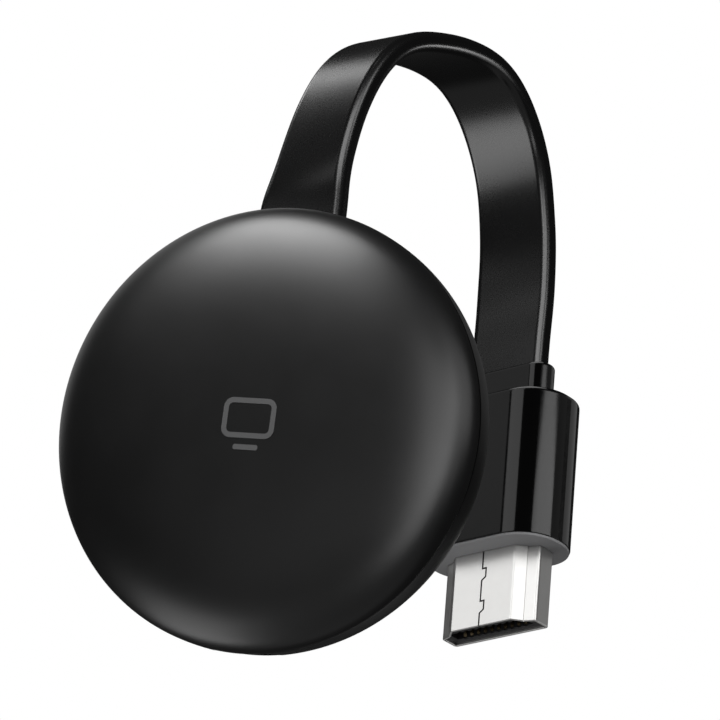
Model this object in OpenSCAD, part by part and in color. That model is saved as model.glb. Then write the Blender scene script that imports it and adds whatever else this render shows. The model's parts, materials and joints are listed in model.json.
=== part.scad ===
// Wireless HDMI adapter: a round puck on a short flat cable that ends in an HDMI plug.
// Units are millimetres, +Z is up. The origin is the middle of the plug's shoulder, where the
// metal shell leaves the grip. The plug's mouth points down, its narrow side faces -Y, the
// cable arches over, and the puck hangs in front with its domed face towards -Y.

/* [Puck] */
// Diameter of the puck
puck_d = 52.5; // [51:0.5:60]
// Thickness of the puck
puck_h = 13.8; // [13:0.1:17]
// Height of the seam between the two shells above the back face
seam_z = 5.6; // [5.4:0.1:6]
// Wall of both shells at the seam
shell_wall = 1.4; // [1.2:0.1:1.6]
// Wall of the domed front at its middle
front_wall = 1.4; // [1.2:0.1:1.8]
// Wall of the flat back
back_wall = 1.3; // [1.1:0.1:1.5]
// How far the rear shell's rounded edge draws in at the back face
rear_draw = 2.2; // [1.2:0.1:3]
// Roundness of the dome: 2 is an ellipse, more is flatter with fuller shoulders
dome_power = 2.5; // [2:0.1:3.2]

/* [Puck place] */
// Sideways place of the puck's seam centre
puck_x = -5.5; // [-8:0.5:-3]
// Place of the puck's seam centre in front of the plug
puck_y = -37; // [-45:0.5:-30]
// Height of the puck's seam centre above the plug's shoulder
puck_z = 3.5; // [0:0.5:8]
// Turn of the puck about the vertical, in degrees
puck_turn = 16; // [0:1:25]
// Downward tilt of the puck's face, in degrees
puck_tilt = 11; // [0:1:20]
// Roll of the puck in its own plane, in degrees
puck_roll = -8; // [-15:1:5]

/* [Cable] */
// Width of the flat cable
cable_w = 10.8; // [9:0.1:11]
// Thickness of the flat cable
cable_t = 2.5; // [2.2:0.1:2.7]
// Sideways place of the cable in the puck's rim
cable_side = -0.6; // [-1:0.1:1]

/* [Plug] */
// Width of the metal shell
hdmi_w = 13.9; // [13.8:0.05:14]
// Height of the metal shell across its two wide faces
hdmi_h = 4.45; // [4.4:0.05:4.55]
// Length of metal shell that stands out of the grip
hdmi_out = 9.5; // [9:0.1:11]
// Sheet thickness of the metal shell
hdmi_sheet = 0.3; // [0.25:0.05:0.35]
// Width of the grip
boot_w = 18.9; // [18.5:0.1:20]
// Depth of the grip
boot_d = 10.8; // [10.4:0.1:12]
// Height of the grip with its end plate
boot_h = 19.25; // [18.5:0.25:24]
// Wall of the grip
boot_wall = 1.2; // [1:0.1:1.4]
// Width of the collar on the grip
collar_w = 12.8; // [12:0.1:13]
// Depth of the collar on the grip
collar_d = 3.9; // [3.6:0.1:4.2]
// Height of the collar above the grip
collar_h = 4.75; // [4:0.25:7]

/* [Board] */
// Thickness of the main board
board_t = 1; // [0.8:0.1:1.2]
// Height of the posts that carry the board
post_h = 3.3; // [3.2:0.1:3.5]
// Thickness of the heat spreader
spreader_t = 1; // [0.8:0.1:1.4]
// Radius of the heat spreader
spreader_r = 19; // [17.5:0.5:19.2]

/* [Button] */
// Diameter of the button in the rim
button_d = 3; // [2.6:0.1:3.2]
// How far the button stands proud of the rim
button_proud = 0.2; // [0.1:0.05:0.4]
// Place of the button round the rim, in degrees from the right
button_angle = 232; // [228:1:236]
// Place of the status light round the rim, in degrees from the right
light_angle = 252; // [251:1:253]

/* [Hidden] */
$fn = 96;

// General values
over = 1;            // overrun of a cut past the face that it opens
fit_gap = 0.1;       // clearance all round between moulded pieces that plug together
profile_steps = 14;  // steps of a rounded shell profile

// Shells
puck_r = puck_d / 2;
dome_h = puck_h - seam_z;
rear_power = 2.4;        // roundness of the rear shell's edge
groove = 0.2;            // chamfer on both shells that makes the seam groove
lip_t = 0.9;             // thickness of the rear shell's locating lip
lip_up = 1.5;            // how far the lip stands into the front shell
lip_down = 2;            // how far the lip runs down the rear wall
lip_taper = 0.25;        // how far the lip's upper part leans in, to clear the dome's wall
floor_flare = 1.2;       // chamfer inside between the rear floor and its wall
wall_in_r = puck_r - shell_wall;
lip_out_r = wall_in_r - fit_gap;
lip_in_r = lip_out_r - lip_t;

// Board and the posts that carry it
board_gap = 1.05;        // clearance between the board and the lip
board_r = lip_in_r - board_gap;
board_z = back_wall + post_h;
board_top = board_z + board_t;
post_d = 4.4;
post_ring_r = board_r - 3.8;
post_angles = [30, 150, 300];
screw_d = 1.6;
screw_head_d = 3;
screw_head_h = 0.9;
screw_len = 3.6;
screw_slot = 0.5;        // width and depth of the cross recess
bore_gap = 0.05;         // clearance round a screw or a pin

// Shielded group on the board's front side. It fills the room between the board's screws
shield_room = 1.95;      // clearance between the shield and the screws' heads
shield_w = 2 * (post_ring_r * cos(post_angles[0]) - screw_head_d / 2 - shield_room);
shield_wall = 0.4;
shield_h = 1.6;
lid_t = 0.2;
lid_skirt = 0.9;

// Size and place of each part on the board, as shares of the shield's width, and its height
cpu_shares = [0.46, 0.46];
cpu_place_shares = [-0.21, -0.19];
cpu_h = 1.2;
memory_shares = [0.46, 0.3];
memory_place_shares = [-0.21, 0.27];
storage_shares = [0.34, 0.5];
storage_place_shares = [0.26, 0.04];
memory_h = 1;
power_shares = [0.19, 0.19];
power_place_shares = [-0.12, -0.66];
power_h = 0.8;
crystal_shares = [0.12, 0.1];
crystal_place_shares = [0.62, -0.12];
inductor_shares = [0.1, 0.1];
inductor_place_shares = [-0.29, -0.59];
inductor_step_shares = [-0.12, 0];
inductor_h = 1.5;
cap_shares = [0.04, 0.02];
cap_h = 0.5;
cap_row_shares = [[0.1, -0.59], [0.1, -0.7], [-0.66, -0.1]];
cap_step_shares = [[0, 0], [0.065, 0], [0, 0.05], [0.065, 0.05]];
pad_share = 0.42;        // width of the processor's pad as a share of the shield
big_pad_share = 0.77;    // and of the pad under the spreader
big_pad_t = 0.8;
lid_z = board_top + shield_h;
spreader_z = lid_z + lid_t + big_pad_t;
spreader_top = spreader_z + spreader_t;

// Stakes that hold the spreader to the front shell
stake_ring_r = spreader_r - 3.5;
stake_angles = [90, 210, 330];
stake_d = 3.6;
pin_d = 1.6;
stake_head_d = 2.6;
stake_head_h = 0.5;

// Antennas, and the radio's can on the board's rear side
antenna_len = 12;
antenna_w = 1.1;
antenna_t = 0.3;
antenna_h = 2.6;
antenna_x = board_r - 2.6;
antenna_leg_shares = [0.12, 0.42];   // places of the two legs along an antenna
can_size = [15, 13, 1.5];
can_at = [-3, 2];
can_wall = 0.2;
wifi_size = [7, 7, 1];

// Power inlet, a micro USB type B receptacle under the board
usb_w = 7.5;
usb_h = 2.6;
usb_depth = 5;
usb_sheet = 0.3;
usb_corner = 0.8;        // slant of the two lower corners
usb_setback = 0.25;      // clearance between the receptacle's mouth and the wall
usb_port_gap = 0.35;     // clearance of the rim's slot round the receptacle
usb_back = 0.8;          // closed rear of the receptacle
tongue_w = 4.2;
tongue_t = 0.6;
tongue_len = 3.2;
usb_pitch = 0.65;
usb_pin_w = 0.35;
usb_pin_t = 0.1;
usb_pins = 5;
usb_z = board_z - usb_h;
usb_mouth_r = wall_in_r - usb_setback;

// Side-push switch and its button
switch_w = 4;
switch_depth = 3;
switch_h = 1.7;
switch_front_r = board_r - 0.8;
plunger_w = 1.6;
plunger_h = 0.9;
plunger_out = 0.9;
plunger_in = 1.1;
plunger_gap = 0.05;      // running clearance round the plunger
press_travel = 0.4;      // travel of the button and the plunger
button_axis_z = 3.6;
button_gap = 0.1;
flange_d = 4.2;
flange_t = 0.7;
flange_gap = 0.25;
stem_d = 1.8;
plunger_tip_r = switch_front_r + plunger_out;
flange_out_r = wall_in_r - flange_gap;
flange_in_r = flange_out_r - flange_t;
pocket_gap = 0.4;        // room round the flange in the lip
switch_z = board_z - switch_h;
plunger_z = switch_z + (switch_h - plunger_h) / 2;

// Status light and its pipe
led_size = [1.2, 1.6, 1.1];
led_in = 0.9;            // distance of the light from the board's edge
pipe_d = 1.4;
pipe_gap = 0.05;
pipe_short = 0.12;       // how far the pipe stays behind the rim's widest line
led_out_r = board_r - led_in;
pipe_z = board_z - pipe_d / 2 - pipe_gap;

// Cable anchor inside the puck
cable_lift = 0.6;        // height of the cable's underside over the rear floor
cable_z = back_wall + cable_lift + cable_t / 2;
slot_gap = 0.15;         // clearance of the rim's slot round the cable
anchor_w = 12.4;
anchor_depth = 4;
anchor_out_r = wall_in_r - 2.35;
anchor_in_r = anchor_out_r - anchor_depth;
anchor_h = post_h - 0.2;
ear_w = 2.8;
ear_depth = 2.6;
ear_t = 1;
ear_post_h = 1.2;
ear_screw_d = 1.3;
ear_head_d = 2.4;
ear_head_h = 0.7;
ear_screw_len = 2.2;
ear_x = anchor_w / 2 + ear_w / 2;
ear_y = anchor_out_r - anchor_depth / 2;
core_d = 0.5;
core_pitch = 1.5;
cores = 6;
channel_w = core_pitch * (cores - 1) + core_d + 0.6;
core_turn = 1.8;         // run of the cores past the anchor before they rise

// Cable section and sweep
cable_round = 1.05;      // radius of the cable's rounded edges
cable_corner_steps = 2;
route_steps = 3;         // rings in each stretch between two route points
route_pitch = 4.1;       // distance of the route points on the straight ends
twist_ease = 8;          // how early the cable turns from the puck's plane to the plug's
straight_rings = 3;      // rings before it starts to turn
// Roll about its own line in degrees, by share of the run from the puck to the plug
cable_roll = [
    [0, 0], [0.06, -8.7], [0.125, -6.8], [0.25, 0.1], [0.375, 5.9],
    [0.5, 4.5], [0.625, 2.6], [0.75, 2], [0.875, -2], [1, 0]
];

// Plug
hdmi_in = 4;             // length of shell inside the grip
narrow_share = 0.633;    // width of the narrow face as a share of the shell
slope_w = 1.15;          // width of the slanted corner
slope_h = 1.2;           // height of the slanted corner
step_h = 0.5;            // height of the flatter step beside it
hdmi_round = 0.45;       // radius of the shell's bends
seam_w = 0.14;
tab_w = 0.55;            // reach of a jigsaw tab
tab_slope = 0.4;         // rise of a tab's slanted lower edge
tab_h_share = 0.16;      // height of a tab as a share of the visible shell
tab_place_shares = [0.23, 0.67];
seam_x = -0.2;
insulator_back = 5;
mouth_setback = 0.3;
tongue_slot_w = 11.2;
tongue_slot_h = 1.7;
tongue_slot_depth = 7.6;
contact_pitch = 1;
contact_w = 0.4;
contact_t = 0.2;
contact_gap = 0.06;
contact_setback = 0.5;
contact_inner = 0.8;     // distance of a contact's inner face from the middle plane
contact_step_z = 5.6;
contact_tail = 8;
paddle_t = 1;
paddle_w = 11;
paddle_top = 13;
core_start = 11;
plate_t = 0.3;
plate_inset = 0.12;
spigot_h = 1.2;
boot_round = 0.5;
boot_corner = 5;
mould_top = 15;
mould_wall = 1.4;
flange_over = 0.7;       // reach of the collar's inner flange
collar_flange_h = 1.2;
collar_round = 0.45;
collar_top = boot_h + collar_h;

// Place of the puck in the frame of the part
module in_puck() {
    translate([puck_x, puck_y, puck_z])
        rotate([90 + puck_tilt, 0, puck_turn])
            rotate([0, 0, puck_roll])
                translate([0, 0, -seam_z]) children();
}

// A point or direction of the puck's own frame in the frame of the part
function spin_z(p, a) = [p.x * cos(a) - p.y * sin(a), p.x * sin(a) + p.y * cos(a), p.z];
function spin_x(p, a) = [p.x, p.y * cos(a) - p.z * sin(a), p.y * sin(a) + p.z * cos(a)];
function puck_dir(p) = spin_z(spin_x(spin_z(p, puck_roll), 90 + puck_tilt), puck_turn);
function puck_point(p) = [puck_x, puck_y, puck_z] + puck_dir([p.x, p.y, p.z - seam_z]);

// Rounded profiles of the two shells, from the seam to the axis
function bulge(a, power) = pow(a, 2 / power);
function dome_line(r, h) = [for (i = [0:profile_steps])
    let (a = 90 * i / profile_steps) [r * bulge(cos(a), dome_power), seam_z + h * bulge(sin(a), dome_power)]];
function rear_line() = [for (i = [0:profile_steps])
    let (a = 90 * i / profile_steps)
        [puck_r - rear_draw + rear_draw * bulge(cos(a), rear_power), seam_z * (1 - bulge(sin(a), rear_power))]];
function reversed(list) = [for (i = [len(list) - 1:-1:0]) list[i]];
function without_first(list) = [for (i = [1:len(list) - 1]) list[i]];

// Outline with rounded corners: each corner is [x, y, radius]
corner_steps = 5;
function corner_arc(a, b, c) =
    let (p = [b.x, b.y], u = [a.x - b.x, a.y - b.y] / norm([a.x - b.x, a.y - b.y]),
        v = [c.x - b.x, c.y - b.y] / norm([c.x - b.x, c.y - b.y]),
        half = acos(u * v) / 2, cut = b.z / tan(half), mid = p + (u + v) / norm(u + v) * b.z / sin(half),
        s = p + u * cut - mid, e = p + v * cut - mid, sweep = 180 - 2 * half, turn = sign(s.x * e.y - s.y * e.x))
    b.z == 0 ? [p] : [for (i = [0:corner_steps])
        let (t = turn * sweep * i / corner_steps) mid + [s.x * cos(t) - s.y * sin(t), s.x * sin(t) + s.y * cos(t)]];
function rounded(corners) = let (n = len(corners))
    [for (i = [0:n - 1]) each corner_arc(corners[(i + n - 1) % n], corners[i], corners[(i + 1) % n])];

module slab(w, d, r) {
    polygon(rounded([[-w / 2, -d / 2, r], [w / 2, -d / 2, r], [w / 2, d / 2, r], [-w / 2, d / 2, r]]));
}
module stadium(w, d) {
    square([w - d, d], center = true);
    for (side = [-1, 1]) translate([side * (w - d) / 2, 0]) circle(d = d);
}
module block(size, at, z) {
    translate([at.x - size.x / 2, at.y - size.y / 2, z]) cube(size);
}
module radial(angle, z) {
    rotate([0, 0, angle]) translate([0, 0, z]) rotate([0, 90, 0]) children();
}

module screw(d, length, head_d, head_h, recess) {
    difference() {
        union() {
            translate([0, 0, -length]) cylinder(d = d, h = length);
            cylinder(d = head_d, h = head_h);
        }
        for (turn = [0, 90]) rotate([0, 0, turn])
            translate([-head_d / 3, -recess / 2, head_h - recess]) cube([head_d * 2 / 3, recess, recess + over]);
    }
}

// Shells
module front_shell() {
    outer = without_first(dome_line(puck_r, dome_h));
    inner = reversed(dome_line(wall_in_r, dome_h - front_wall));
    color("#1c1c1e") in_puck() difference() {
        union() {
            rotate_extrude() polygon(concat([[puck_r - groove, seam_z], [puck_r, seam_z + groove]], outer, inner));
            intersection() {
                for (a = stake_angles) rotate([0, 0, a]) translate([stake_ring_r, 0, spreader_top])
                    cylinder(d = stake_d, h = puck_h);
                rotate_extrude() polygon(concat([[0, seam_z]], dome_line(wall_in_r + shell_wall / 2, dome_h - front_wall / 2)));
            }
            for (a = stake_angles) rotate([0, 0, a]) translate([stake_ring_r, 0, 0]) {
                translate([0, 0, spreader_z - stake_head_h]) cylinder(d = stake_head_d, h = stake_head_h);
                translate([0, 0, spreader_z - stake_head_h]) cylinder(d = pin_d, h = spreader_t + 2 * stake_head_h);
            }
        }
    }
}

module rear_shell() {
    floor_r = wall_in_r - floor_flare;
    color("#161617") in_puck() difference() {
        union() {
            rotate_extrude() polygon(concat(
                [[puck_r - groove, seam_z], [puck_r, seam_z - groove]], without_first(rear_line()),
                [[0, 0], [0, back_wall], [floor_r, back_wall], [wall_in_r, back_wall + floor_flare], [wall_in_r, seam_z]]));
            rotate_extrude() polygon([
                [lip_in_r, seam_z - lip_down], [wall_in_r + over / 2, seam_z - lip_down], [wall_in_r + over / 2, seam_z - groove],
                [lip_out_r, seam_z - groove], [lip_out_r, seam_z + lip_up / 3], [lip_out_r - lip_taper, seam_z + lip_up],
                [lip_in_r, seam_z + lip_up]]);
            for (a = post_angles) rotate([0, 0, a]) translate([post_ring_r, 0, 0])
                cylinder(d = post_d, h = board_z);
            for (side = [-1, 1]) translate([cable_side + side * ear_x, ear_y, 0])
                cylinder(d = ear_w, h = back_wall + ear_post_h);
        }
        for (a = post_angles) rotate([0, 0, a]) translate([post_ring_r, 0, back_wall])
            cylinder(d = screw_d + 2 * bore_gap, h = post_h + over);
        for (side = [-1, 1]) translate([cable_side + side * ear_x, ear_y, back_wall / 2 + ear_post_h / 4])
            cylinder(d = ear_screw_d + 2 * bore_gap, h = post_h);
        translate([cable_side, anchor_out_r, cable_z]) rotate([-90, 0, 0]) linear_extrude(shell_wall + puck_r - anchor_out_r)
            slab(cable_w + 2 * slot_gap, cable_t + 2 * slot_gap, cable_round);
        translate([0, -usb_mouth_r + usb_depth, usb_z + usb_h / 2]) rotate([90, 0, 0])
            linear_extrude(usb_depth + shell_wall + over)
                slab(usb_w + 2 * usb_port_gap, usb_h + 2 * usb_port_gap, usb_corner);
        radial(button_angle, button_axis_z) {
            translate([0, 0, lip_in_r - over]) cylinder(d = button_d + 2 * button_gap, h = puck_r - lip_in_r + 2 * over);
            translate([0, 0, flange_in_r - press_travel - pocket_gap])
                cylinder(d = flange_d + 2 * button_gap, h = wall_in_r - flange_in_r + press_travel + pocket_gap);
        }
        radial(light_angle, pipe_z)
            translate([0, 0, lip_in_r - over]) cylinder(d = pipe_d + 2 * pipe_gap, h = puck_r - lip_in_r + 2 * over);
    }
}

// Board and what it carries
module main_board() {
    color("#1f4d33") in_puck() difference() {
        translate([0, 0, board_z]) cylinder(r = board_r, h = board_t);
        for (a = post_angles) rotate([0, 0, a]) translate([post_ring_r, 0, back_wall])
            cylinder(d = screw_d + 2 * bore_gap, h = puck_h);
    }
}

module board_screws() {
    color("#b9b9bd") in_puck() for (a = post_angles) rotate([0, 0, a])
        translate([post_ring_r, 0, board_top]) screw(screw_d, screw_len, screw_head_d, screw_head_h, screw_slot);
}

// A part on the board: its size and place are shares of the shield's width
module fitted(shares, place_shares, h, z = board_top) {
    block([shares.x * shield_w, shares.y * shield_w, h], place_shares * shield_w, z);
}
module processor_chip() { color("#2a2a2c") in_puck() fitted(cpu_shares, cpu_place_shares, cpu_h); }
module memory_chip() { color("#26262a") in_puck() fitted(memory_shares, memory_place_shares, memory_h); }
module storage_chip() { color("#28282a") in_puck() fitted(storage_shares, storage_place_shares, memory_h); }
module power_chip() { color("#252527") in_puck() fitted(power_shares, power_place_shares, power_h); }
module crystal() { color("#c9c9cc") in_puck() fitted(crystal_shares, crystal_place_shares, power_h); }

module wifi_chip() {
    color("#29292c") in_puck() block(wifi_size, can_at, board_z - wifi_size.z);
}

module inductors() {
    color("#4a4a4c") in_puck() for (i = [0:2])
        fitted(inductor_shares, inductor_place_shares + i * inductor_step_shares, inductor_h);
}

module capacitors() {
    color("#b08d57") in_puck() for (row = cap_row_shares, step = cap_step_shares)
        fitted(cap_shares, row + step, cap_h);
}

module shield_frame() {
    color("#a9abae") in_puck() translate([0, 0, board_top]) difference() {
        translate([-shield_w / 2, -shield_w / 2, 0]) cube([shield_w, shield_w, shield_h]);
        translate([-shield_w / 2 + shield_wall, -shield_w / 2 + shield_wall, -over])
            cube([shield_w - 2 * shield_wall, shield_w - 2 * shield_wall, shield_h + 2 * over]);
    }
}

module shield_lid() {
    outer = shield_w + 2 * (lid_t + bore_gap);
    inner = shield_w + 2 * bore_gap;
    color("#b5b7ba") in_puck() difference() {
        translate([-outer / 2, -outer / 2, lid_z - lid_skirt]) cube([outer, outer, lid_skirt + lid_t]);
        translate([-inner / 2, -inner / 2, lid_z - lid_skirt - over]) cube([inner, inner, lid_skirt + over]);
    }
}

module processor_pad() {
    color("#8fa3b8") in_puck() fitted([pad_share, pad_share], cpu_place_shares, shield_h - cpu_h, board_top + cpu_h);
}
module spreader_pad() {
    color("#8fa3b8") in_puck() fitted([big_pad_share, big_pad_share], [0, 0], big_pad_t, lid_z + lid_t);
}

module heat_spreader() {
    color("#9ea1a5") in_puck() difference() {
        translate([0, 0, spreader_z]) cylinder(r = spreader_r, h = spreader_t);
        for (a = stake_angles) rotate([0, 0, a]) translate([stake_ring_r, 0, spreader_z - over])
            cylinder(d = pin_d + 2 * bore_gap, h = spreader_t + 2 * over);
    }
}

module rear_shield() {
    color("#a9abae") in_puck() difference() {
        block(can_size, can_at, board_z - can_size.z);
        block([can_size.x - 2 * can_wall, can_size.y - 2 * can_wall, can_size.z], can_at, board_z - can_size.z + can_wall);
    }
}

module antenna() {
    translate([antenna_x, -antenna_len / 2, 0]) {
        translate([0, 0, board_top + antenna_h - antenna_t]) cube([antenna_w, antenna_len, antenna_t]);
        for (share = antenna_leg_shares) translate([0, antenna_len * share, board_top])
            cube([antenna_t, antenna_w, antenna_h]);
    }
}
module antenna_right() { color("#c7c4b4") in_puck() antenna(); }
module antenna_left() { color("#c7c4b4") in_puck() rotate([0, 0, 180]) antenna(); }

// Power inlet
module usb_outline(inset) {
    w = usb_w / 2 - inset;
    h = usb_h / 2 - inset;
    polygon([[-w, h], [w, h], [w, -h + usb_corner], [w - usb_corner, -h], [usb_corner - w, -h], [-w, -h + usb_corner]]);
}
module at_usb() {
    in_puck() translate([0, -usb_mouth_r, usb_z + usb_h / 2]) rotate([90, 0, 0]) mirror([0, 0, 1]) children();
}
module usb_shell() {
    color("#c4c6c9") at_usb() difference() {
        linear_extrude(usb_depth) usb_outline(0);
        translate([0, 0, -over]) linear_extrude(usb_depth + 2 * over) usb_outline(usb_sheet);
    }
}
module usb_tongue() {
    color("#1b1b1c") at_usb() {
        translate([0, 0, usb_depth - usb_back]) linear_extrude(usb_back) usb_outline(usb_sheet);
        translate([-tongue_w / 2, 0, usb_depth - usb_back - tongue_len]) cube([tongue_w, tongue_t, tongue_len + usb_back / 2]);
    }
}
module usb_contacts() {
    color("#d2ab5a") at_usb() for (i = [0:usb_pins - 1])
        translate([(i - (usb_pins - 1) / 2) * usb_pitch - usb_pin_w / 2, -usb_pin_t, usb_depth - usb_back - tongue_len])
            cube([usb_pin_w, usb_pin_t, tongue_len]);
}

// Button and switch
module switch_body() {
    color("#2b2b2d") in_puck() rotate([0, 0, button_angle]) difference() {
        translate([switch_front_r - switch_depth, -switch_w / 2, switch_z]) cube([switch_depth, switch_w, switch_h]);
        translate([switch_front_r - plunger_in - press_travel - plunger_gap,
                -plunger_w / 2 - plunger_gap, plunger_z - plunger_gap])
            cube([switch_depth, plunger_w + 2 * plunger_gap, plunger_h + 2 * plunger_gap]);
    }
}
module switch_plunger() {
    color("#d8d8da") in_puck() rotate([0, 0, button_angle])
        translate([switch_front_r - plunger_in, -plunger_w / 2, plunger_z])
            cube([plunger_in + plunger_out, plunger_w, plunger_h]);
}
module button_cap() {
    color("#1b1b1c") in_puck() radial(button_angle, button_axis_z) {
        translate([0, 0, flange_in_r]) cylinder(d = flange_d, h = flange_t);
        translate([0, 0, flange_in_r]) cylinder(d = button_d, h = puck_r + button_proud - flange_in_r);
        translate([0, 0, plunger_tip_r]) cylinder(d = stem_d, h = flange_in_r + flange_t / 2 - plunger_tip_r);
    }
}

// Status light
module status_led() {
    color("#f2f0e2") in_puck() rotate([0, 0, light_angle])
        translate([led_out_r - led_size.x, -led_size.y / 2, board_z - led_size.z]) cube(led_size);
}
module light_pipe() {
    color("#e8eef0") in_puck() radial(light_angle, pipe_z)
        translate([0, 0, led_out_r]) cylinder(d = pipe_d, h = puck_r - pipe_short - led_out_r);
}

// Cable end inside the puck
module cable_anchor() {
    color("#232325") in_puck() translate([cable_side, 0, 0]) difference() {
        union() {
            translate([-anchor_w / 2, anchor_in_r, back_wall]) cube([anchor_w, anchor_depth, anchor_h]);
            translate([-anchor_w / 2 - ear_w, ear_y - ear_depth / 2, back_wall + ear_post_h])
                cube([anchor_w + 2 * ear_w, ear_depth, ear_t]);
        }
        translate([-channel_w / 2, anchor_in_r - over, cable_z - core_d])
            cube([channel_w, anchor_depth + 2 * over, 2 * core_d]);
        for (side = [-1, 1]) translate([side * ear_x, ear_y, back_wall])
            cylinder(d = ear_screw_d + 2 * bore_gap, h = anchor_h + over);
    }
}
module anchor_screws() {
    color("#b9b9bd") in_puck() for (side = [-1, 1])
        translate([cable_side + side * ear_x, ear_y, back_wall + ear_post_h + ear_t])
            screw(ear_screw_d, ear_screw_len, ear_head_d, ear_head_h, screw_slot / 2);
}
module puck_wires() {
    color("#8c6239") in_puck() for (i = [0:cores - 1])
        translate([cable_side + (i - (cores - 1) / 2) * core_pitch, anchor_in_r - core_turn, cable_z]) {
            rotate([-90, 0, 0]) cylinder(d = core_d, h = anchor_depth + core_turn, $fn = 16);
            sphere(d = core_d, $fn = 16);
            cylinder(d = core_d, h = board_z - cable_z, $fn = 16);
        }
}

// Flat cable. Its points run from the anchor in the puck to the top of the collar: straight out
// of the rim, over the arch, and straight down into the collar.
cable_exit_dir = puck_dir([0, 1, 0]);
cable_start = puck_point([cable_side, anchor_out_r, cable_z]);
cable_points = concat(
    [for (run = [-route_pitch, 0, route_pitch]) cable_start + run * cable_exit_dir],
    [
        [-1.3, -38.6, 33.9], [-0.8, -38.1, 38.1], [-0.3, -37.4, 42.3], [0.2, -36.3, 46.1], [0.6, -34.6, 49.8],
        [0.9, -32.1, 53], [1.2, -28.9, 55.3], [1.3, -25.1, 56.9], [1.3, -21.1, 58.1], [1.3, -17, 58.8],
        [1.1, -13.1, 58.9], [0.9, -9.5, 57.7], [0.7, -6.4, 55.3], [0.5, -3.9, 52.3], [0.4, -2.1, 48.7],
        [0.3, -1.1, 44.7], [0.3, -0.4, 40.6], [0.2, -0.1, 36.4], [0.1, 0.1, 32.3]
    ],
    [for (rise = [route_pitch, 0, -route_pitch]) [0, 0, collar_top + rise]]
);

function unit(v) = v / norm(v);
// Smooth curve that the points pull: it runs evenly between them, with no kink at any
function pulled(i, t) = (pow(1 - t, 3) * cable_points[i - 1] + (3 * pow(t, 3) - 6 * t * t + 4) * cable_points[i]
    + (-3 * pow(t, 3) + 3 * t * t + 3 * t + 1) * cable_points[i + 1] + pow(t, 3) * cable_points[i + 2]) / 6;
spans = len(cable_points) - 3;
cable_line = concat(
    [for (i = [1:spans], k = [0:route_steps - 1]) pulled(i, k / route_steps)],
    [pulled(spans, 1)]
);
last_ring = len(cable_line) - 1;
function ring_along(i) = i == 0 ? cable_exit_dir : i == last_ring ? [0, 0, -1]
    : unit(cable_line[i + 1] - cable_line[i - 1]);
function ring_across(i) = let (t = ring_along(i), run = max(0, i - straight_rings) / (last_ring - straight_rings),
        blend = 1 - pow(1 - run, twist_ease),
        wish = (1 - blend) * puck_dir([1, 0, 0]) + blend * [1, 0, 0],
        level = unit(wish - (wish * t) * t), roll = lookup(run, cable_roll))
    cos(roll) * level + sin(roll) * cross(t, level);
cable_outline = let (w = cable_w / 2, h = cable_t / 2, r = cable_round)
    [for (c = [[1, 1, 0], [-1, 1, 90], [-1, -1, 180], [1, -1, 270]], k = [0:cable_corner_steps])
        let (a = c.z + 90 * k / cable_corner_steps) [c.x * (w - r) + r * cos(a), c.y * (h - r) + r * sin(a)]];
cable_sides = len(cable_outline);

module flat_cable() {
    rings = [for (i = [0:last_ring], p = cable_outline)
        let (x = ring_across(i), y = cross(ring_along(i), x)) cable_line[i] + p.x * x + p.y * y];
    walls = [for (i = [0:last_ring - 1], k = [0:cable_sides - 1])
        let (a = i * cable_sides, b = a + cable_sides, n = (k + 1) % cable_sides) each [[a + k, b + k, b + n], [a + k, b + n, a + n]]];
    ends = [[for (k = [0:cable_sides - 1]) k], [for (k = [cable_sides - 1:-1:0]) last_ring * cable_sides + k]];
    color("#141415") polyhedron(rings, concat(walls, ends));
}

// Grip of the plug
module plug_collar() {
    flange_top = boot_h - boot_wall;
    color("#121213") difference() {
        union() {
            hull() {
                translate([0, 0, flange_top - collar_round]) linear_extrude(collar_h + boot_wall)
                    stadium(collar_w, collar_d);
                translate([0, 0, flange_top]) linear_extrude(collar_h + boot_wall)
                    stadium(collar_w - 2 * collar_round, collar_d - 2 * collar_round);
            }
            translate([0, 0, flange_top - collar_flange_h]) linear_extrude(collar_flange_h)
                stadium(collar_w + 2 * flange_over, collar_d + 2 * flange_over);
        }
        translate([0, 0, mould_top]) linear_extrude(collar_top) square([channel_w, paddle_t + 2 * core_d + bore_gap], center = true);
    }
}

module plug_boot() {
    inner_corner = boot_corner - boot_wall;
    color("#121213") difference() {
        hull() {
            translate([0, 0, plate_t]) linear_extrude(boot_h - plate_t - boot_round) slab(boot_w, boot_d, boot_corner);
            translate([0, 0, boot_h - boot_round]) linear_extrude(boot_round)
                slab(boot_w - 2 * boot_round, boot_d - 2 * boot_round, boot_corner - boot_round);
        }
        translate([0, 0, -over]) linear_extrude(boot_h - boot_wall + over)
            slab(boot_w - 2 * boot_wall, boot_d - 2 * boot_wall, inner_corner);
        linear_extrude(boot_h + over) stadium(collar_w + 2 * bore_gap, collar_d + 2 * bore_gap);
    }
}

// Section of the metal shell, drawn in X and Y, with its narrow face at -Y
function hdmi_corners(inset, r) =
    let (narrow = hdmi_w * narrow_share / 2 - inset * 0.41, wide = hdmi_w / 2 - inset, low = -hdmi_h / 2 + inset,
        high = hdmi_h / 2 - inset, slope = low + slope_h, step = slope + step_h)
    [[-narrow, low, r], [narrow, low, r], [narrow + slope_w, slope, r / 2], [wide, step, r],
        [wide, high, r], [-wide, high, r], [-wide, step, r], [-narrow - slope_w, slope, r / 2]];
module hdmi_section(inset) {
    polygon(rounded(hdmi_corners(inset, hdmi_round - inset / 2)));
}

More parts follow.
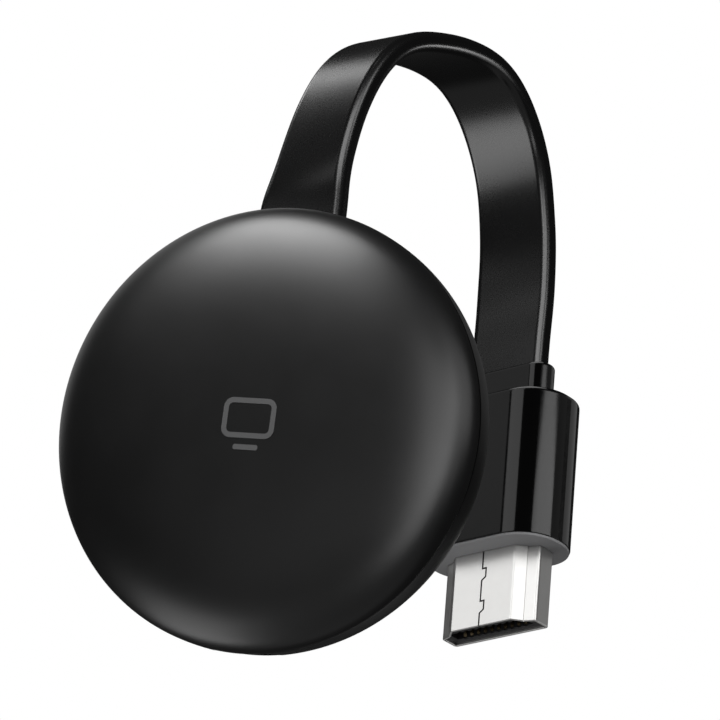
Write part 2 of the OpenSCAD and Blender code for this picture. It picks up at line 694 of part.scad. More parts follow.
module plug_end_plate() {
    color("#4a4a4c") difference() {
        union() {
            linear_extrude(plate_t)
                slab(boot_w - 2 * plate_inset, boot_d - 2 * plate_inset, boot_corner - plate_inset);
            linear_extrude(plate_t + spigot_h)
                slab(boot_w - 2 * (boot_wall + fit_gap), boot_d - 2 * (boot_wall + fit_gap), boot_corner - boot_wall - fit_gap);
        }
        translate([0, 0, -over]) linear_extrude(plate_t + spigot_h + 2 * over) hdmi_section(-bore_gap);
    }
}

module plug_inner_mould() {
    base = plate_t + spigot_h;
    w = boot_w - 2 * (boot_wall + fit_gap);
    d = boot_d - 2 * (boot_wall + fit_gap);
    color("#d9d6cc") difference() {
        translate([0, 0, base]) linear_extrude(mould_top - base) slab(w, d, boot_corner - boot_wall - fit_gap);
        linear_extrude(hdmi_in) hdmi_section(-bore_gap);
        translate([0, 0, hdmi_in - bore_gap]) linear_extrude(mould_top) slab(w - 2 * mould_wall, d - 2 * mould_wall, boot_round);
    }
}

// Connector
module hdmi_shell() {
    tab_h = hdmi_out * tab_h_share;
    color("#c9c9c7") difference() {
        translate([0, 0, -hdmi_out]) linear_extrude(hdmi_out + hdmi_in) hdmi_section(0);
        translate([0, 0, -hdmi_out - over]) linear_extrude(hdmi_out + hdmi_in + 2 * over) hdmi_section(hdmi_sheet);
        translate([0, -hdmi_h / 2 + hdmi_sheet * 2, 0]) rotate([90, 0, 0]) linear_extrude(hdmi_sheet * 4)
            seam_outline(tab_h);
    }
}
// The seam runs down the narrow face and steps round two tabs
function seam_side(shift, tab_h) = concat(
    [[seam_x + shift, hdmi_in + over]],
    [for (share = tab_place_shares) let (top = -hdmi_out * share, low = top - tab_h)
        each [[seam_x + shift, top + shift], [seam_x + tab_w + shift, top + shift],
            [seam_x + tab_w + shift, low + tab_slope - shift / 2], [seam_x + shift, low - shift / 2]]],
    [[seam_x + shift, -hdmi_out - over]]
);
module seam_outline(tab_h) {
    polygon(concat(seam_side(-seam_w / 2, tab_h), reversed(seam_side(seam_w / 2, tab_h))));
}

module hdmi_insulator() {
    front = -hdmi_out + mouth_setback;
    groove_t = contact_t + contact_gap;
    color("#1a1a1b") difference() {
        translate([0, 0, front]) linear_extrude(insulator_back - front) hdmi_section(hdmi_sheet + bore_gap);
        translate([-tongue_slot_w / 2, -tongue_slot_h / 2, front - over])
            cube([tongue_slot_w, tongue_slot_h, tongue_slot_depth + over]);
        for (side = [-1, 1], x = contact_places(side))
            translate([x - contact_w / 2 - contact_gap, side < 0 ? -contact_inner - groove_t : contact_inner - contact_gap, front - over])
                cube([contact_w + 2 * contact_gap, groove_t + contact_gap, insulator_back - front + 2 * over]);
    }
}

// Ten places on the wide side and nine between them on the narrow side
function contact_places(side) = let (n = side < 0 ? 9 : 10)
    [for (i = [0:n - 1]) (i - (n - 1) / 2) * contact_pitch];
module hdmi_contacts(side) {
    front = -hdmi_out + contact_setback;
    outer = contact_inner + contact_t;
    color("#d6b15c") for (x = contact_places(side)) translate([x - contact_w / 2, 0, 0]) mirror([0, side < 0 ? 1 : 0, 0]) {
        translate([0, contact_inner, front]) cube([contact_w, contact_t, contact_step_z - front]);
        translate([0, paddle_t / 2, contact_step_z - contact_t]) cube([contact_w, outer - paddle_t / 2, contact_t]);
        translate([0, paddle_t / 2, contact_step_z - contact_t]) cube([contact_w, contact_t, contact_tail - contact_step_z]);
    }
}
module hdmi_contacts_wide() { hdmi_contacts(1); }
module hdmi_contacts_narrow() { hdmi_contacts(-1); }

module plug_board() {
    color("#1f4d33") translate([-paddle_w / 2, -paddle_t / 2, insulator_back])
        cube([paddle_w, paddle_t, paddle_top - insulator_back]);
}
module plug_wires() {
    color("#8c6239") for (i = [0:cores - 1], side = [-1, 1])
        translate([(i - (cores - 1) / 2) * core_pitch, side * (paddle_t + core_d) / 2, core_start])
            cylinder(d = core_d, h = collar_top - core_start, $fn = 16);
}

front_shell();
rear_shell();
main_board();
board_screws();
processor_chip();
memory_chip();
storage_chip();
power_chip();
wifi_chip();
crystal();
inductors();
capacitors();
shield_frame();
shield_lid();
processor_pad();
spreader_pad();
heat_spreader();
rear_shield();
antenna_left();
antenna_right();
usb_shell();
usb_tongue();
usb_contacts();
switch_body();
switch_plunger();
button_cap();
status_led();
light_pipe();
cable_anchor();
anchor_screws();
puck_wires();
flat_cable();
plug_collar();
plug_boot();
plug_end_plate();
plug_inner_mould();
plug_board();
plug_wires();
hdmi_shell();
hdmi_insulator();
hdmi_contacts_wide();
hdmi_contacts_narrow();
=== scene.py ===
"""Dresses the packed wireless HDMI adapter: shells, flat cable, plug, inlet and inside parts get
their finishes, in a plain studio. Forms are built in millimetres and placed in metres."""

import json
import math

import bmesh
import bpy
import numpy as np
from bpy.props import FloatProperty, FloatVectorProperty, IntProperty, PointerProperty
from mathutils import Matrix, Vector

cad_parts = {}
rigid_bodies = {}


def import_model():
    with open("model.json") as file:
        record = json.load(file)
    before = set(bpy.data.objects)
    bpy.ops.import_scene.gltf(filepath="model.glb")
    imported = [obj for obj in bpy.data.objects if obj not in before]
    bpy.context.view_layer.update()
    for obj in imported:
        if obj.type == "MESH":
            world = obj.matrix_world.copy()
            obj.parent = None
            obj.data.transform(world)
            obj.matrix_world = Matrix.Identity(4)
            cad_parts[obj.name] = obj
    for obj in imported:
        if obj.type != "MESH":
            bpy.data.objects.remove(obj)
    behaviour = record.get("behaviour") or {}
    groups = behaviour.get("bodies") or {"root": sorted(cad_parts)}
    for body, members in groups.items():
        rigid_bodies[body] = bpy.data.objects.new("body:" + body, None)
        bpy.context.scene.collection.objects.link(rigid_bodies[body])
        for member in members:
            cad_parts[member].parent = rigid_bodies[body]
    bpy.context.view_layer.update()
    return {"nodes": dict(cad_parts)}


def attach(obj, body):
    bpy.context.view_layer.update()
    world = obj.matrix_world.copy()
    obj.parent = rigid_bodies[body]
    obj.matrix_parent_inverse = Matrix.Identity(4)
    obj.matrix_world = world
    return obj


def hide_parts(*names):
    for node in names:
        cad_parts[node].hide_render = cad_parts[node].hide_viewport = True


bl_info = {
    "name": "Wireless HDMI adapter",
    "version": (1, 0, 0),
    "blender": (4, 5, 0),
    "location": "3D View > Sidebar > Adapter",
    "description": "Round puck on a flat cable that ends in an HDMI plug, with studio light",
    "category": "Add Mesh",
}

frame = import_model()
MM = 0.001        # a millimetre in metres
SUPPORT = 0.05    # distance of the extra loop that keeps a flat face flat beside a round edge
LONG = 0.4        # a straight longer than this gets such loops
MERGE = 1e-4      # points of a form that are this close become one
SHARP = 32        # degrees between two faces past which their edge is shaded sharp


# Sizes and colours

def length(name, text, value):
    """A length in metres, given here in millimetres."""
    return FloatProperty(name=name, description=text, default=value * MM, min=0, unit="LENGTH", precision=5)


def share(name, text, value):
    return FloatProperty(name=name, description=text, default=value, min=0, max=1, subtype="FACTOR")


def colour(name, text, value):
    return FloatVectorProperty(name=name, description=text, default=value, size=3, min=0, max=1,
                               subtype="COLOR")


def angle(name, text, value):
    """An angle in radians, given here in degrees."""
    return FloatProperty(name=name, description=text, default=math.radians(value), subtype="ANGLE")


def amount(name, text, value, low=0, high=100):
    return FloatProperty(name=name, description=text, default=value, min=low, max=high)


class PuckSizes(bpy.types.PropertyGroup):
    """Round housing"""
    diameter: length("Diameter", "Diameter of the puck at its seam", 52.5)
    height: length("Height", "Thickness of the puck from the back to the top of the dome", 13.8)
    seam: length("Seam height", "Height of the seam between the shells above the back", 5.6)
    wall: length("Wall", "Wall of both shells at the seam", 1.4)
    front_wall: length("Front wall", "Wall of the dome at its middle", 1.4)
    back_wall: length("Back wall", "Wall of the flat back", 1.3)
    rear_draw: length("Rear draw", "How far the rear edge draws in at the back face", 2.2)
    groove: length("Groove", "Rounding on both shells that makes the seam groove", 0.2)
    dome_power: amount("Dome roundness", "Power of its curve: 2 is an ellipse, more is fuller", 2.5, 2, 4)
    rear_power: amount("Rear roundness", "Power of the rear edge's curve", 2.4, 2, 4)
    place: FloatVectorProperty(name="Place", description="Middle of the seam", size=3, precision=5,
                               default=(-0.0055, -0.037, 0.0035), subtype="TRANSLATION")
    turn: angle("Turn", "Turn about the vertical", 16)
    tilt: angle("Tilt", "Downward tilt of the face", 11)
    roll: angle("Roll", "Roll in the puck's own plane", -8)


class CableSizes(bpy.types.PropertyGroup):
    """Flat cable"""
    width: length("Width", "Width of the flat cable", 10.8)
    thickness: length("Thickness", "Thickness of the flat cable", 2.5)
    edge: length("Edge radius", "Radius of the rounded edges", 1.05)
    side: FloatProperty(name="Side", description="Sideways place of the cable in the puck's rim",
                        default=-0.0006, unit="LENGTH", precision=5)
    lift: length("Lift", "Height of the cable's middle above the puck's back", 3.15)
    length: length("Length", "Length from the anchor in the puck to the plug's collar", 89.3)


class PlugSizes(bpy.types.PropertyGroup):
    """Grip and connector"""
    boot_width: length("Grip width", "Width of the grip", 18.9)
    boot_depth: length("Grip depth", "Depth of the grip", 10.8)
    boot_height: length("Grip height", "Height of the grip with its end plate", 19.25)
    boot_corner: length("Grip corner", "Radius of the grip's upright corners", 5)
    boot_wall: length("Grip wall", "Wall of the grip", 1.2)
    collar_width: length("Collar width", "Width of the collar", 12.8)
    collar_depth: length("Collar depth", "Depth of the collar", 3.9)
    collar_height: length("Collar height", "Height of the collar above the grip", 4.75)
    plate: length("End plate", "Thickness of the end plate's rim", 0.3)
    shell_width: length("Shell width", "Width of the metal shell", 13.9)
    shell_height: length("Shell height", "Distance of the shell's two wide faces", 4.45)
    shell_out: length("Shell length", "Length of metal shell that stands out", 9.5)
    shell_in: length("Shell root", "Length of metal shell inside the grip", 4)
    sheet: length("Sheet", "Sheet thickness of the metal shell", 0.3)
    contact_pitch: length("Contact pitch", "Distance of neighbouring contacts in a row", 1)
    wide_contacts: IntProperty(name="Wide row", description="Contacts on the wide side", default=10, min=1)
    narrow_contacts: IntProperty(name="Narrow row", description="Contacts on the narrow side", default=9,
                                 min=1)


class FinishSettings(bpy.types.PropertyGroup):
    """Colours and gloss"""
    cover: colour("Cover", "Satin black of the domed cover", (0.003, 0.003, 0.0031))
    cover_rough: share("Cover roughness", "Roughness of the domed cover", 0.36)
    tray: colour("Tray", "Matte black of the rear tray", (0.003, 0.003, 0.0031))
    cable: colour("Cable", "Glossy black of the cable", (0.003, 0.003, 0.0031))
    cable_rough: share("Cable roughness", "Roughness of the cable", 0.27)
    grip: colour("Grip", "Glossy black of the plug's grip", (0.002, 0.002, 0.0021))
    plate: colour("End plate", "Matte grey of the grip's end plate", (0.18, 0.18, 0.184))
    nickel: colour("Nickel", "Plating of the connector's shell", (0.86, 0.855, 0.84))
    mark: colour("Mark", "Grey print of the screen mark", (0.062, 0.062, 0.063))


class StudioSettings(bpy.types.PropertyGroup):
    """Light and floor"""
    floor_drop: length("Floor depth", "Depth of the floor below the plug's shoulder", 900)
    floor_size: length("Floor size", "Diameter of the lit floor", 2790)
    floor_pale: amount("Floor brightness", "How pale the floor looks", 0.95)
    floor_glow: amount("Floor light", "Light that the floor gives back", 0.22)
    ambient: amount("Ambient", "Light from the room beyond the panels", 0.02)
    dimmer: amount("Panels", "Brightness of all panels", 1)


# Node trees written as expressions

class Wire:
    """A socket that adds and multiplies as a number does."""

    def __init__(self, graph, socket):
        self.graph, self.socket = graph, socket

    def __add__(self, other):
        return self.graph.maths("ADD", self, other)

    def __sub__(self, other):
        return self.graph.maths("SUBTRACT", self, other)

    def __rsub__(self, other):
        return self.graph.maths("SUBTRACT", other, self)

    def __mul__(self, other):
        return self.graph.maths("MULTIPLY", self, other)

    __radd__, __rmul__ = __add__, __mul__


class Graph:
    """A node tree, for materials, the world and Geometry Nodes alike."""

    def __init__(self, tree):
        self.tree = tree

    def put(self, socket, value):
        if isinstance(value, Wire):
            self.tree.links.new(value.socket, socket)
        else:
            socket.default_value = value

    @staticmethod
    def pick(sockets, key):
        """The enabled socket of that number or name."""
        shown = [s for s in sockets if s.enabled]
        return shown[key] if isinstance(key, int) else next(s for s in shown if s.name == key)

    def add(self, kind, settings=None, values=None, out=0):
        """Adds a node: its settings first, then the values or links of its sockets. out picks the output."""
        node = self.tree.nodes.new(kind)
        for key, value in (settings or {}).items():
            setattr(node, key, value)
        for key, value in (values or {}).items():
            self.put(self.pick(node.inputs, key), value)
        return Wire(self, self.pick(node.outputs, out)) if len(node.outputs) else None

    def maths(self, operation, *values):
        return self.add("ShaderNodeMath", {"operation": operation}, dict(enumerate(values)))

    def parts(self, vector):
        """X, Y and Z of a vector."""
        node = self.add("ShaderNodeSeparateXYZ", None, {"Vector": vector}).socket.node
        return [Wire(self, s) for s in node.outputs]

    def noise(self, at, grain, detail=2.0, rough=0.5):
        """Noise from 0 to 1 whose blobs are about grain metres wide."""
        return self.add("ShaderNodeTexNoise", None,
                        {"Vector": at, "Scale": 1 / grain, "Detail": detail, "Roughness": rough})

    def spread(self, wire, low, high):
        """Maps low..high to 0..1, smoothly and no further."""
        return self.add("ShaderNodeMapRange", {"interpolation_type": "SMOOTHSTEP"},
                        {"Value": wire, "From Min": low, "From Max": high})

    def tint(self, mask, dark, light):
        return self.add("ShaderNodeMix", {"data_type": "RGBA"},
                        {"Factor": mask, "A": (*dark, 1), "B": (*light, 1)})


class Finish(Graph):
    """A procedural material. The pattern sits in Object coordinates, so it stays on its piece."""

    def __init__(self, name, colour, rough, **steady):
        self.material = bpy.data.materials.new(name)
        self.material.use_nodes = True
        super().__init__(self.material.node_tree)
        self.shader = self.tree.nodes["Principled BSDF"]
        self.at = self.add("ShaderNodeTexCoord", out="Object")
        self.colour, self.rough = tuple(colour), rough
        for key, value in steady.items():
            self.shader.inputs[key.replace("_", " ")].default_value = value
        self.material.diffuse_color = (*self.colour, 1)

    def scaled(self, amount):
        return tuple(min(1, c * amount) for c in self.colour)

    def stretched(self, scale):
        return self.add("ShaderNodeMapping", None, {"Vector": self.at, "Scale": scale})

    def paint(self, mask, low, high):
        """Colour runs from low to high times the base colour where the mask runs from 0 to 1."""
        self.put(self.shader.inputs["Base Color"], self.tint(mask, self.scaled(low), self.scaled(high)))

    def gloss(self, change):
        self.put(self.shader.inputs["Roughness"], change + self.rough)

    def relief(self, height):
        """Height in metres, as bump."""
        self.put(self.shader.inputs["Normal"],
                 self.add("ShaderNodeBump", None, {"Strength": 1.0, "Distance": 1.0, "Height": height}))


def moulded(name, colour, rough, grain=0.15, depth=0.0015, wave=0.0, fleck=0.12, **steady):
    """Moulded plastic: fine grain of that size and depth in millimetres, slow waves and faint mottling."""
    f = Finish(name, colour, rough, **steady)
    fine = f.noise(f.at, grain * MM, detail=3.0, rough=0.6)
    cloud = f.noise(f.at, 6 * MM)
    f.paint(cloud, 1 - fleck, 1 + fleck)
    f.gloss((cloud - 0.5) * 0.05 + (fine - 0.5) * 0.06)
    height = fine * (depth * MM)
    if wave:
        height = height + f.noise(f.at, 4 * MM, detail=1.0) * (wave * MM)
    f.relief(height)
    return f.material


def drawn_metal(name, colour, rough, grain=0.2, depth=0.002, brush=(1, 1, 1), tarnish=0.1):
    """Sheet metal: grain drawn out along one axis, soft handling marks and a little tarnish."""
    f = Finish(name, colour, rough, Metallic=1.0)
    lines = f.noise(f.stretched(brush), grain * MM, detail=3.0, rough=0.65)
    cloud = f.noise(f.at, 2.5 * MM, detail=3.0)
    f.paint(f.spread(cloud, 0.3, 0.75), 1 - tarnish, 1.0)
    f.gloss((cloud - 0.5) * 0.08 + (lines - 0.5) * 0.12)
    f.relief(lines * (depth * MM))
    return f.material


def solder_mask(name, colour, rough):
    """Printed board: copper tracks under a green mask, and a fine weave."""
    f = Finish(name, colour, rough)
    cells = f.add("ShaderNodeTexVoronoi", {"feature": "DISTANCE_TO_EDGE", "distance": "MANHATTAN"},
                  {"Vector": f.at, "Scale": 420.0, "Randomness": 0.8})
    tracks = 1 - f.spread(cells, 0.05, 0.09)
    weave = f.noise(f.at, 0.3 * MM)
    f.paint(tracks, 1.0, 1.9)
    f.gloss((weave - 0.5) * 0.1)
    f.relief(tracks * (0.02 * MM) + weave * (0.002 * MM))
    return f.material


def sintered(name, colour, rough):
    """Ferrite and ceramic: speckled, with tiny pits."""
    f = Finish(name, colour, rough)
    specks = f.noise(f.at, 0.12 * MM, detail=4.0, rough=0.7)
    pits = f.spread(f.noise(f.at, 0.25 * MM, detail=1.0), 0.62, 0.72)
    f.paint(specks, 0.7, 1.3)
    f.gloss((specks - 0.5) * 0.2)
    f.relief(specks * (0.003 * MM) - pits * (0.01 * MM))
    return f.material


def stranded(name, colour, rough):
    """Bare stranded wire."""
    f = Finish(name, colour, rough, Metallic=1.0)
    lay = f.add("ShaderNodeTexWave", {"wave_type": "BANDS", "bands_direction": "DIAGONAL"},
                {"Vector": f.at, "Scale": 1500.0, "Distortion": 0.6, "Detail": 1.0})
    cloud = f.noise(f.at, 0.8 * MM)
    f.paint(cloud, 0.75, 1.15)
    f.gloss((cloud - 0.5) * 0.15)
    f.relief(lay * (0.03 * MM))
    return f.material


def finishes(c):
    """Every finish of the part, by the record's material slot."""
    # Name, colour and roughness. Then grain and depth in millimetres, and for metal the grain's stretch
    return {
        "satin_black": moulded("Satin black cover", c.cover, c.cover_rough, 0.16, 0.005, IOR=1.5),
        "matte_black": moulded("Matte black tray", c.tray, 0.5, 0.3, 0.006, IOR=1.47),
        "button_black": moulded("Button black", c.tray, 0.36, 0.2, 0.002),
        "cable_black": moulded("Glossy cable jacket", c.cable, c.cable_rough, 0.2, 0.0006, 0.0004, IOR=1.5),
        "boot_black": moulded("Glossy grip", c.grip, 0.09, 0.5, 0.0004, 0.0002, IOR=1.5),
        "plate_grey": moulded("Matte end plate", c.plate, 0.62, 0.2, 0.004, fleck=0.06),
        "mould_ivory": moulded("Ivory inner mould", (0.62, 0.6, 0.52), 0.55, 0.3, 0.004),
        "insulator_black": moulded("Insulator black", (0.014, 0.014, 0.015), 0.5, 0.15, 0.002),
        "inlet_black": moulded("Inlet black", (0.012, 0.012, 0.013), 0.45, 0.2, 0.003),
        "chip_black": moulded("Chip epoxy", (0.018, 0.018, 0.02), 0.55, 0.08, 0.003),
        "switch_white": moulded("Switch plunger", (0.66, 0.66, 0.64), 0.45, 0.25, 0.002),
        "thermal_pad": moulded("Thermal pad", (0.25, 0.33, 0.42), 0.8, 0.25, 0.01, 0.02),
        "led_resin": moulded("Light resin", (0.82, 0.8, 0.66), 0.25, 0.3, 0.001),
        "clear_pipe": moulded("Clear pipe", (0.9, 0.93, 0.94), 0.12, 0.4, 0.0004, IOR=1.49,
                              Transmission_Weight=0.9),
        "screen_print": moulded("Grey screen print", c.mark, 0.55, 0.12, 0.002, fleck=0.05),
        "plug_nickel": drawn_metal("Nickel plated shell", c.nickel, 0.34, 0.16, 0.005, (1, 1, 0.7), 0.05),
        "can_metal": drawn_metal("Tinned can", (0.66, 0.67, 0.68), 0.32, 0.2, 0.002, (1, 0.1, 1)),
        "screw_steel": drawn_metal("Zinc screw", (0.6, 0.61, 0.63), 0.3, 0.1, 0.002),
        "spreader_aluminium": drawn_metal("Rolled aluminium", (0.72, 0.73, 0.74), 0.42, 0.25, 0.004,
                                          (0.06, 1, 1)),
        "antenna_metal": drawn_metal("Antenna strip", (0.75, 0.72, 0.62), 0.35, 0.15, 0.002, (1, 0.1, 1)),
        "inlet_steel": drawn_metal("Inlet steel", (0.45, 0.455, 0.46), 0.36, 0.12, 0.002, (1, 1, 0.2)),
        # The plating's colour is darkened to about half of bright gold: painted shade for the contacts deep
        # in the plug's mouth
        "gold_contacts": drawn_metal("Gold plating", (0.5, 0.4, 0.24), 0.24, 0.1, 0.001, (1, 1, 0.1)),
        "circuit_board": solder_mask("Solder mask", (0.012, 0.06, 0.028), 0.35),
        "ferrite": sintered("Ferrite", (0.06, 0.06, 0.062), 0.6),
        "ceramic_tan": sintered("Ceramic", (0.32, 0.21, 0.11), 0.45),
        "wire_copper": stranded("Copper strands", (0.72, 0.36, 0.2), 0.35),
    }


# Outlines and forms

def rounded(corners, steps=8):
    """Closed outline from corners (x, y, radius), with an extra point beyond both ends of a round."""
    out = []
    count = len(corners)
    for i, (x, y, r) in enumerate(corners):
        p = np.array([x, y], float)
        to_last = np.array(corners[i - 1][:2], float) - p
        to_next = np.array(corners[(i + 1) % count][:2], float) - p
        u, v = to_last / np.linalg.norm(to_last), to_next / np.linalg.norm(to_next)
        half = math.acos(max(-1, min(1, u @ v))) / 2
        reach = r / math.tan(half)
        middle = p + (u + v) / np.linalg.norm(u + v) * r / math.sin(half)
        start, end = p + u * reach - middle, p + v * reach - middle
        spin = math.copysign(math.pi - 2 * half, start[0] * end[1] - start[1] * end[0])
        arc = []
        for t in np.linspace(0, spin, steps + 1):
            c, s = math.cos(t), math.sin(t)
            arc.append(middle + (start[0] * c - start[1] * s, start[0] * s + start[1] * c))
        out += [arc[0] + u * SUPPORT, *arc, arc[-1] + v * SUPPORT]
    return np.array(out)


def slab(width, depth, radius, steps=8):
    w, d = width / 2, depth / 2
    r = min(radius, w - SUPPORT, d - SUPPORT)
    return rounded([(-w, -d, r), (w, -d, r), (w, d, r), (-w, d, r)], steps)


def circle(radius, steps):
    return [(radius * math.cos(a), radius * math.sin(a))
            for a in np.linspace(0, 2 * math.pi, steps, endpoint=False)]


def at_height(outline, z):
    return [(x, y, z) for x, y in outline]


def quarter(steps):
    return np.linspace(0, math.pi / 2, steps + 1)


def corner(radius, steps=6):
    """A quarter round as (inset, rise): from the upright wall to the flat."""
    return [(radius * (1 - math.cos(t)), radius * math.sin(t)) for t in quarter(steps)]


def add_piece(name, points, faces):
    mesh = bpy.data.meshes.new(name)
    mesh.from_pydata([tuple(map(float, p)) for p in points], [], faces)
    mesh.update()
    piece = bpy.data.objects.new(name, mesh)
    bpy.context.scene.collection.objects.link(piece)
    return piece


def loft(name, rings, closed=False):
    """Skin over rings of equally many points. A closed loft runs back to its first ring."""
    n, count = len(rings[0]), len(rings)
    faces = []
    for i in range(count if closed else count - 1):
        a, b = i * n, (i + 1) % count * n
        faces += [(a + k, a + (k + 1) % n, b + (k + 1) % n, b + k) for k in range(n)]
    if not closed:
        faces += [tuple(reversed(range(n))), tuple(range((count - 1) * n, count * n))]
    return add_piece(name, [p for ring in rings for p in ring], faces)


def prism(name, outline, low, high):
    return loft(name, [at_height(outline, low), at_height(outline, high)])


def rod(name, radius, low, high, steps=32):
    return prism(name, circle(radius, steps), low, high)


def freeze(piece):
    """Turns what the modifiers make into a plain mesh."""
    shown = piece.evaluated_get(bpy.context.evaluated_depsgraph_get())
    mesh, old = bpy.data.meshes.new_from_object(shown), piece.data
    piece.modifiers.clear()
    piece.data = mesh
    mesh.name = piece.name
    bpy.data.meshes.remove(old)
    return piece


def remove(piece):
    mesh = piece.data
    bpy.data.objects.remove(piece)
    bpy.data.meshes.remove(mesh)


def clean(piece):
    """Merges doubles and turns every face outwards."""
    bm = bmesh.new()
    bm.from_mesh(piece.data)
    bmesh.ops.remove_doubles(bm, verts=bm.verts, dist=MERGE)
    bmesh.ops.dissolve_degenerate(bm, edges=bm.edges, dist=MERGE)
    bmesh.ops.recalc_face_normals(bm, faces=bm.faces)
    bm.to_mesh(piece.data)
    bm.free()


def joined(name, pieces):
    """One object from several, which keep their own surfaces."""
    bm = bmesh.new()
    for piece in pieces:
        clean(piece)
        bm.from_mesh(piece.data)
        remove(piece)
    mesh = bpy.data.meshes.new(name)
    bm.to_mesh(mesh)
    bm.free()
    whole = bpy.data.objects.new(name, mesh)
    bpy.context.scene.collection.objects.link(whole)
    return whole


def carve(piece, tools, operation="DIFFERENCE"):
    """Cuts the tools out of a piece, or adds them to it."""
    tool = joined("tool", tools)
    clean(piece)
    modifier = piece.modifiers.new("Carve", "BOOLEAN")
    modifier.operation, modifier.solver, modifier.object = operation, "MANIFOLD", tool
    freeze(piece)
    remove(tool)


def place(piece, matrix=None):
    """Moves a finished form from its own millimetres to the part's metres, and shades it."""
    clean(piece)
    matrix = matrix or Matrix.Identity(4)
    piece.data.transform(Matrix.Scale(MM, 4) @ matrix)
    if matrix.determinant() < 0:
        piece.data.flip_normals()
    piece.data.shade_smooth()
    piece.data.set_sharp_from_angle(angle=math.radians(SHARP))
    return piece


def hand_over(piece, slot, *nodes, body="adapter", finish=None):
    """Gives a finished piece the finish named, else the finish of its slot, and its body, and hides the
    solids that it stands for.
    """
    piece.data.materials.clear()
    piece.data.materials.append(FINISHES[finish or slot])
    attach(piece, body)
    if nodes:
        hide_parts(*nodes)


def moved(piece, matrix):
    piece.data.transform(matrix)
    return piece


def turn(degrees, axis):
    return Matrix.Rotation(math.radians(degrees), 4, axis)


def shift(x, y, z):
    return Matrix.Translation((x, y, z))


# Geometry Nodes

def new_tree(name, inputs):
    """A Geometry Nodes tree with a geometry input and output and the named inputs."""
    tree = bpy.data.node_groups.new(name, "GeometryNodeTree")
    tree.interface.new_socket("Geometry", in_out="OUTPUT", socket_type="NodeSocketGeometry")
    tree.interface.new_socket("Geometry", in_out="INPUT", socket_type="NodeSocketGeometry")
    for label, kind in inputs:
        tree.interface.new_socket(label, in_out="INPUT", socket_type="NodeSocket" + kind)
    graph = Graph(tree)
    way_in = tree.nodes.new("NodeGroupInput")
    return graph, {s.name: Wire(graph, s) for s in way_in.outputs if s.name}


def end_tree(graph, geometry, material):
    plain = graph.add("GeometryNodeRealizeInstances", None, {"Geometry": geometry})
    dressed = graph.add("GeometryNodeSetMaterial", None, {"Geometry": plain, "Material": material})
    graph.add("NodeGroupOutput", None, {"Geometry": dressed})
    return graph.tree


def turned_tree():
    """Spins a row of profile points, radius in X and height in Z, once round the Z axis."""
    g, given = new_tree("Turned form", [("Steps round", "Int"), ("Finish", "Material")])
    size = g.add("GeometryNodeAttributeDomainSize", None, {"Geometry": given["Geometry"]}, "Point Count")
    grid = g.add("GeometryNodeMeshGrid", None, {
        "Size X": 1.0, "Size Y": 1.0, "Vertices X": size, "Vertices Y": given["Steps round"] + 1}, "Mesh")
    here = g.add("GeometryNodeInputPosition")
    along, way_round, _ = g.parts(here)
    row = g.maths("ROUND", (along + 0.5) * (size - 1))
    point = g.add("GeometryNodeSampleIndex", {"data_type": "FLOAT_VECTOR", "domain": "POINT"},
                  {"Geometry": given["Geometry"], "Value": here, "Index": row})
    radius, _, height = g.parts(point)
    spin = (way_round + 0.5) * (2 * math.pi)
    spot = g.add("ShaderNodeCombineXYZ", None, {
        "X": radius * g.maths("COSINE", spin), "Y": radius * g.maths("SINE", spin), "Z": height})
    formed = g.add("GeometryNodeSetPosition", None, {"Geometry": grid, "Position": spot})
    whole = g.add("GeometryNodeMergeByDistance", None, {"Geometry": formed, "Distance": 4 * MERGE})
    return end_tree(g, whole, given["Finish"])


def row_tree():
    """Repeats one form along X, centred on the origin."""
    g, given = new_tree("Row of contacts", [("Count", "Int"), ("Pitch", "Float"), ("Finish", "Material")])
    first = (given["Count"] - 1) * given["Pitch"] * -0.5
    line = g.add("GeometryNodeMeshLine", {"mode": "OFFSET"}, {
        "Count": given["Count"], "Start Location": g.add("ShaderNodeCombineXYZ", None, {"X": first}),
        "Offset": g.add("ShaderNodeCombineXYZ", None, {"X": given["Pitch"]})})
    row = g.add("GeometryNodeInstanceOnPoints", None, {"Points": line, "Instance": given["Geometry"]})
    return end_tree(g, row, given["Finish"])


def run_tree(piece, tree, values):
    """Runs a tree on a piece with inputs set by their identifiers, and keeps the plain result."""
    modifier = piece.modifiers.new(tree.name, "NODES")
    modifier.node_group = tree
    for item in tree.interface.items_tree:
        if item.in_out == "INPUT" and item.name in values:
            modifier[item.identifier] = values[item.name]
    return freeze(piece)


def turned(name, profile, steps, slot):
    """A turned form: the profile is a list of (radius, height) that starts and ends on the axis."""
    piece = add_piece(name, [(r, 0, z) for r, z in profile], [])
    return run_tree(piece, TREES["turned"], {"Steps round": steps, "Finish": FINISHES[slot]})


def supported(profile):
    """Adds a point near both ends of each long straight of a profile, so that its shading stays flat."""
    out = [profile[0]]
    for a, b in zip(profile, profile[1:]):
        a, b = np.array(a, float), np.array(b, float)
        span = np.linalg.norm(b - a)
        if span > LONG:
            out += [tuple(a + (b - a) * SUPPORT / span), tuple(b - (b - a) * SUPPORT / span)]
        out.append(tuple(b))
    return out


# Puck

# Places in the puck's own millimetres: X across, Y towards the cable, Z up from the back
ROUND_STEPS = 224                # faces of both shells round the rim
PAST_GROOVE = 1.3                # where the shells' own curves take over, in groove roundings
BOARD_POSTS = (30, 150, 300)     # degrees round the middle
BOARD_POST_AT = 19               # and distance from it
STAKES, STAKE_AT = (90, 210, 330), 15.5
EAR_SIDE, EAR_AT = 7.6, 20.5     # posts for the cable's anchor, from the cable's middle and the puck's
CABLE_AT = 22.5                  # where the cable's route and its slot begin
BUTTON = (232, 3.6)              # degrees round the rim, and height
LIGHT = (252, 3.85)
INLET_MOUTH, INLET_HEIGHT = 24.6, 3.3


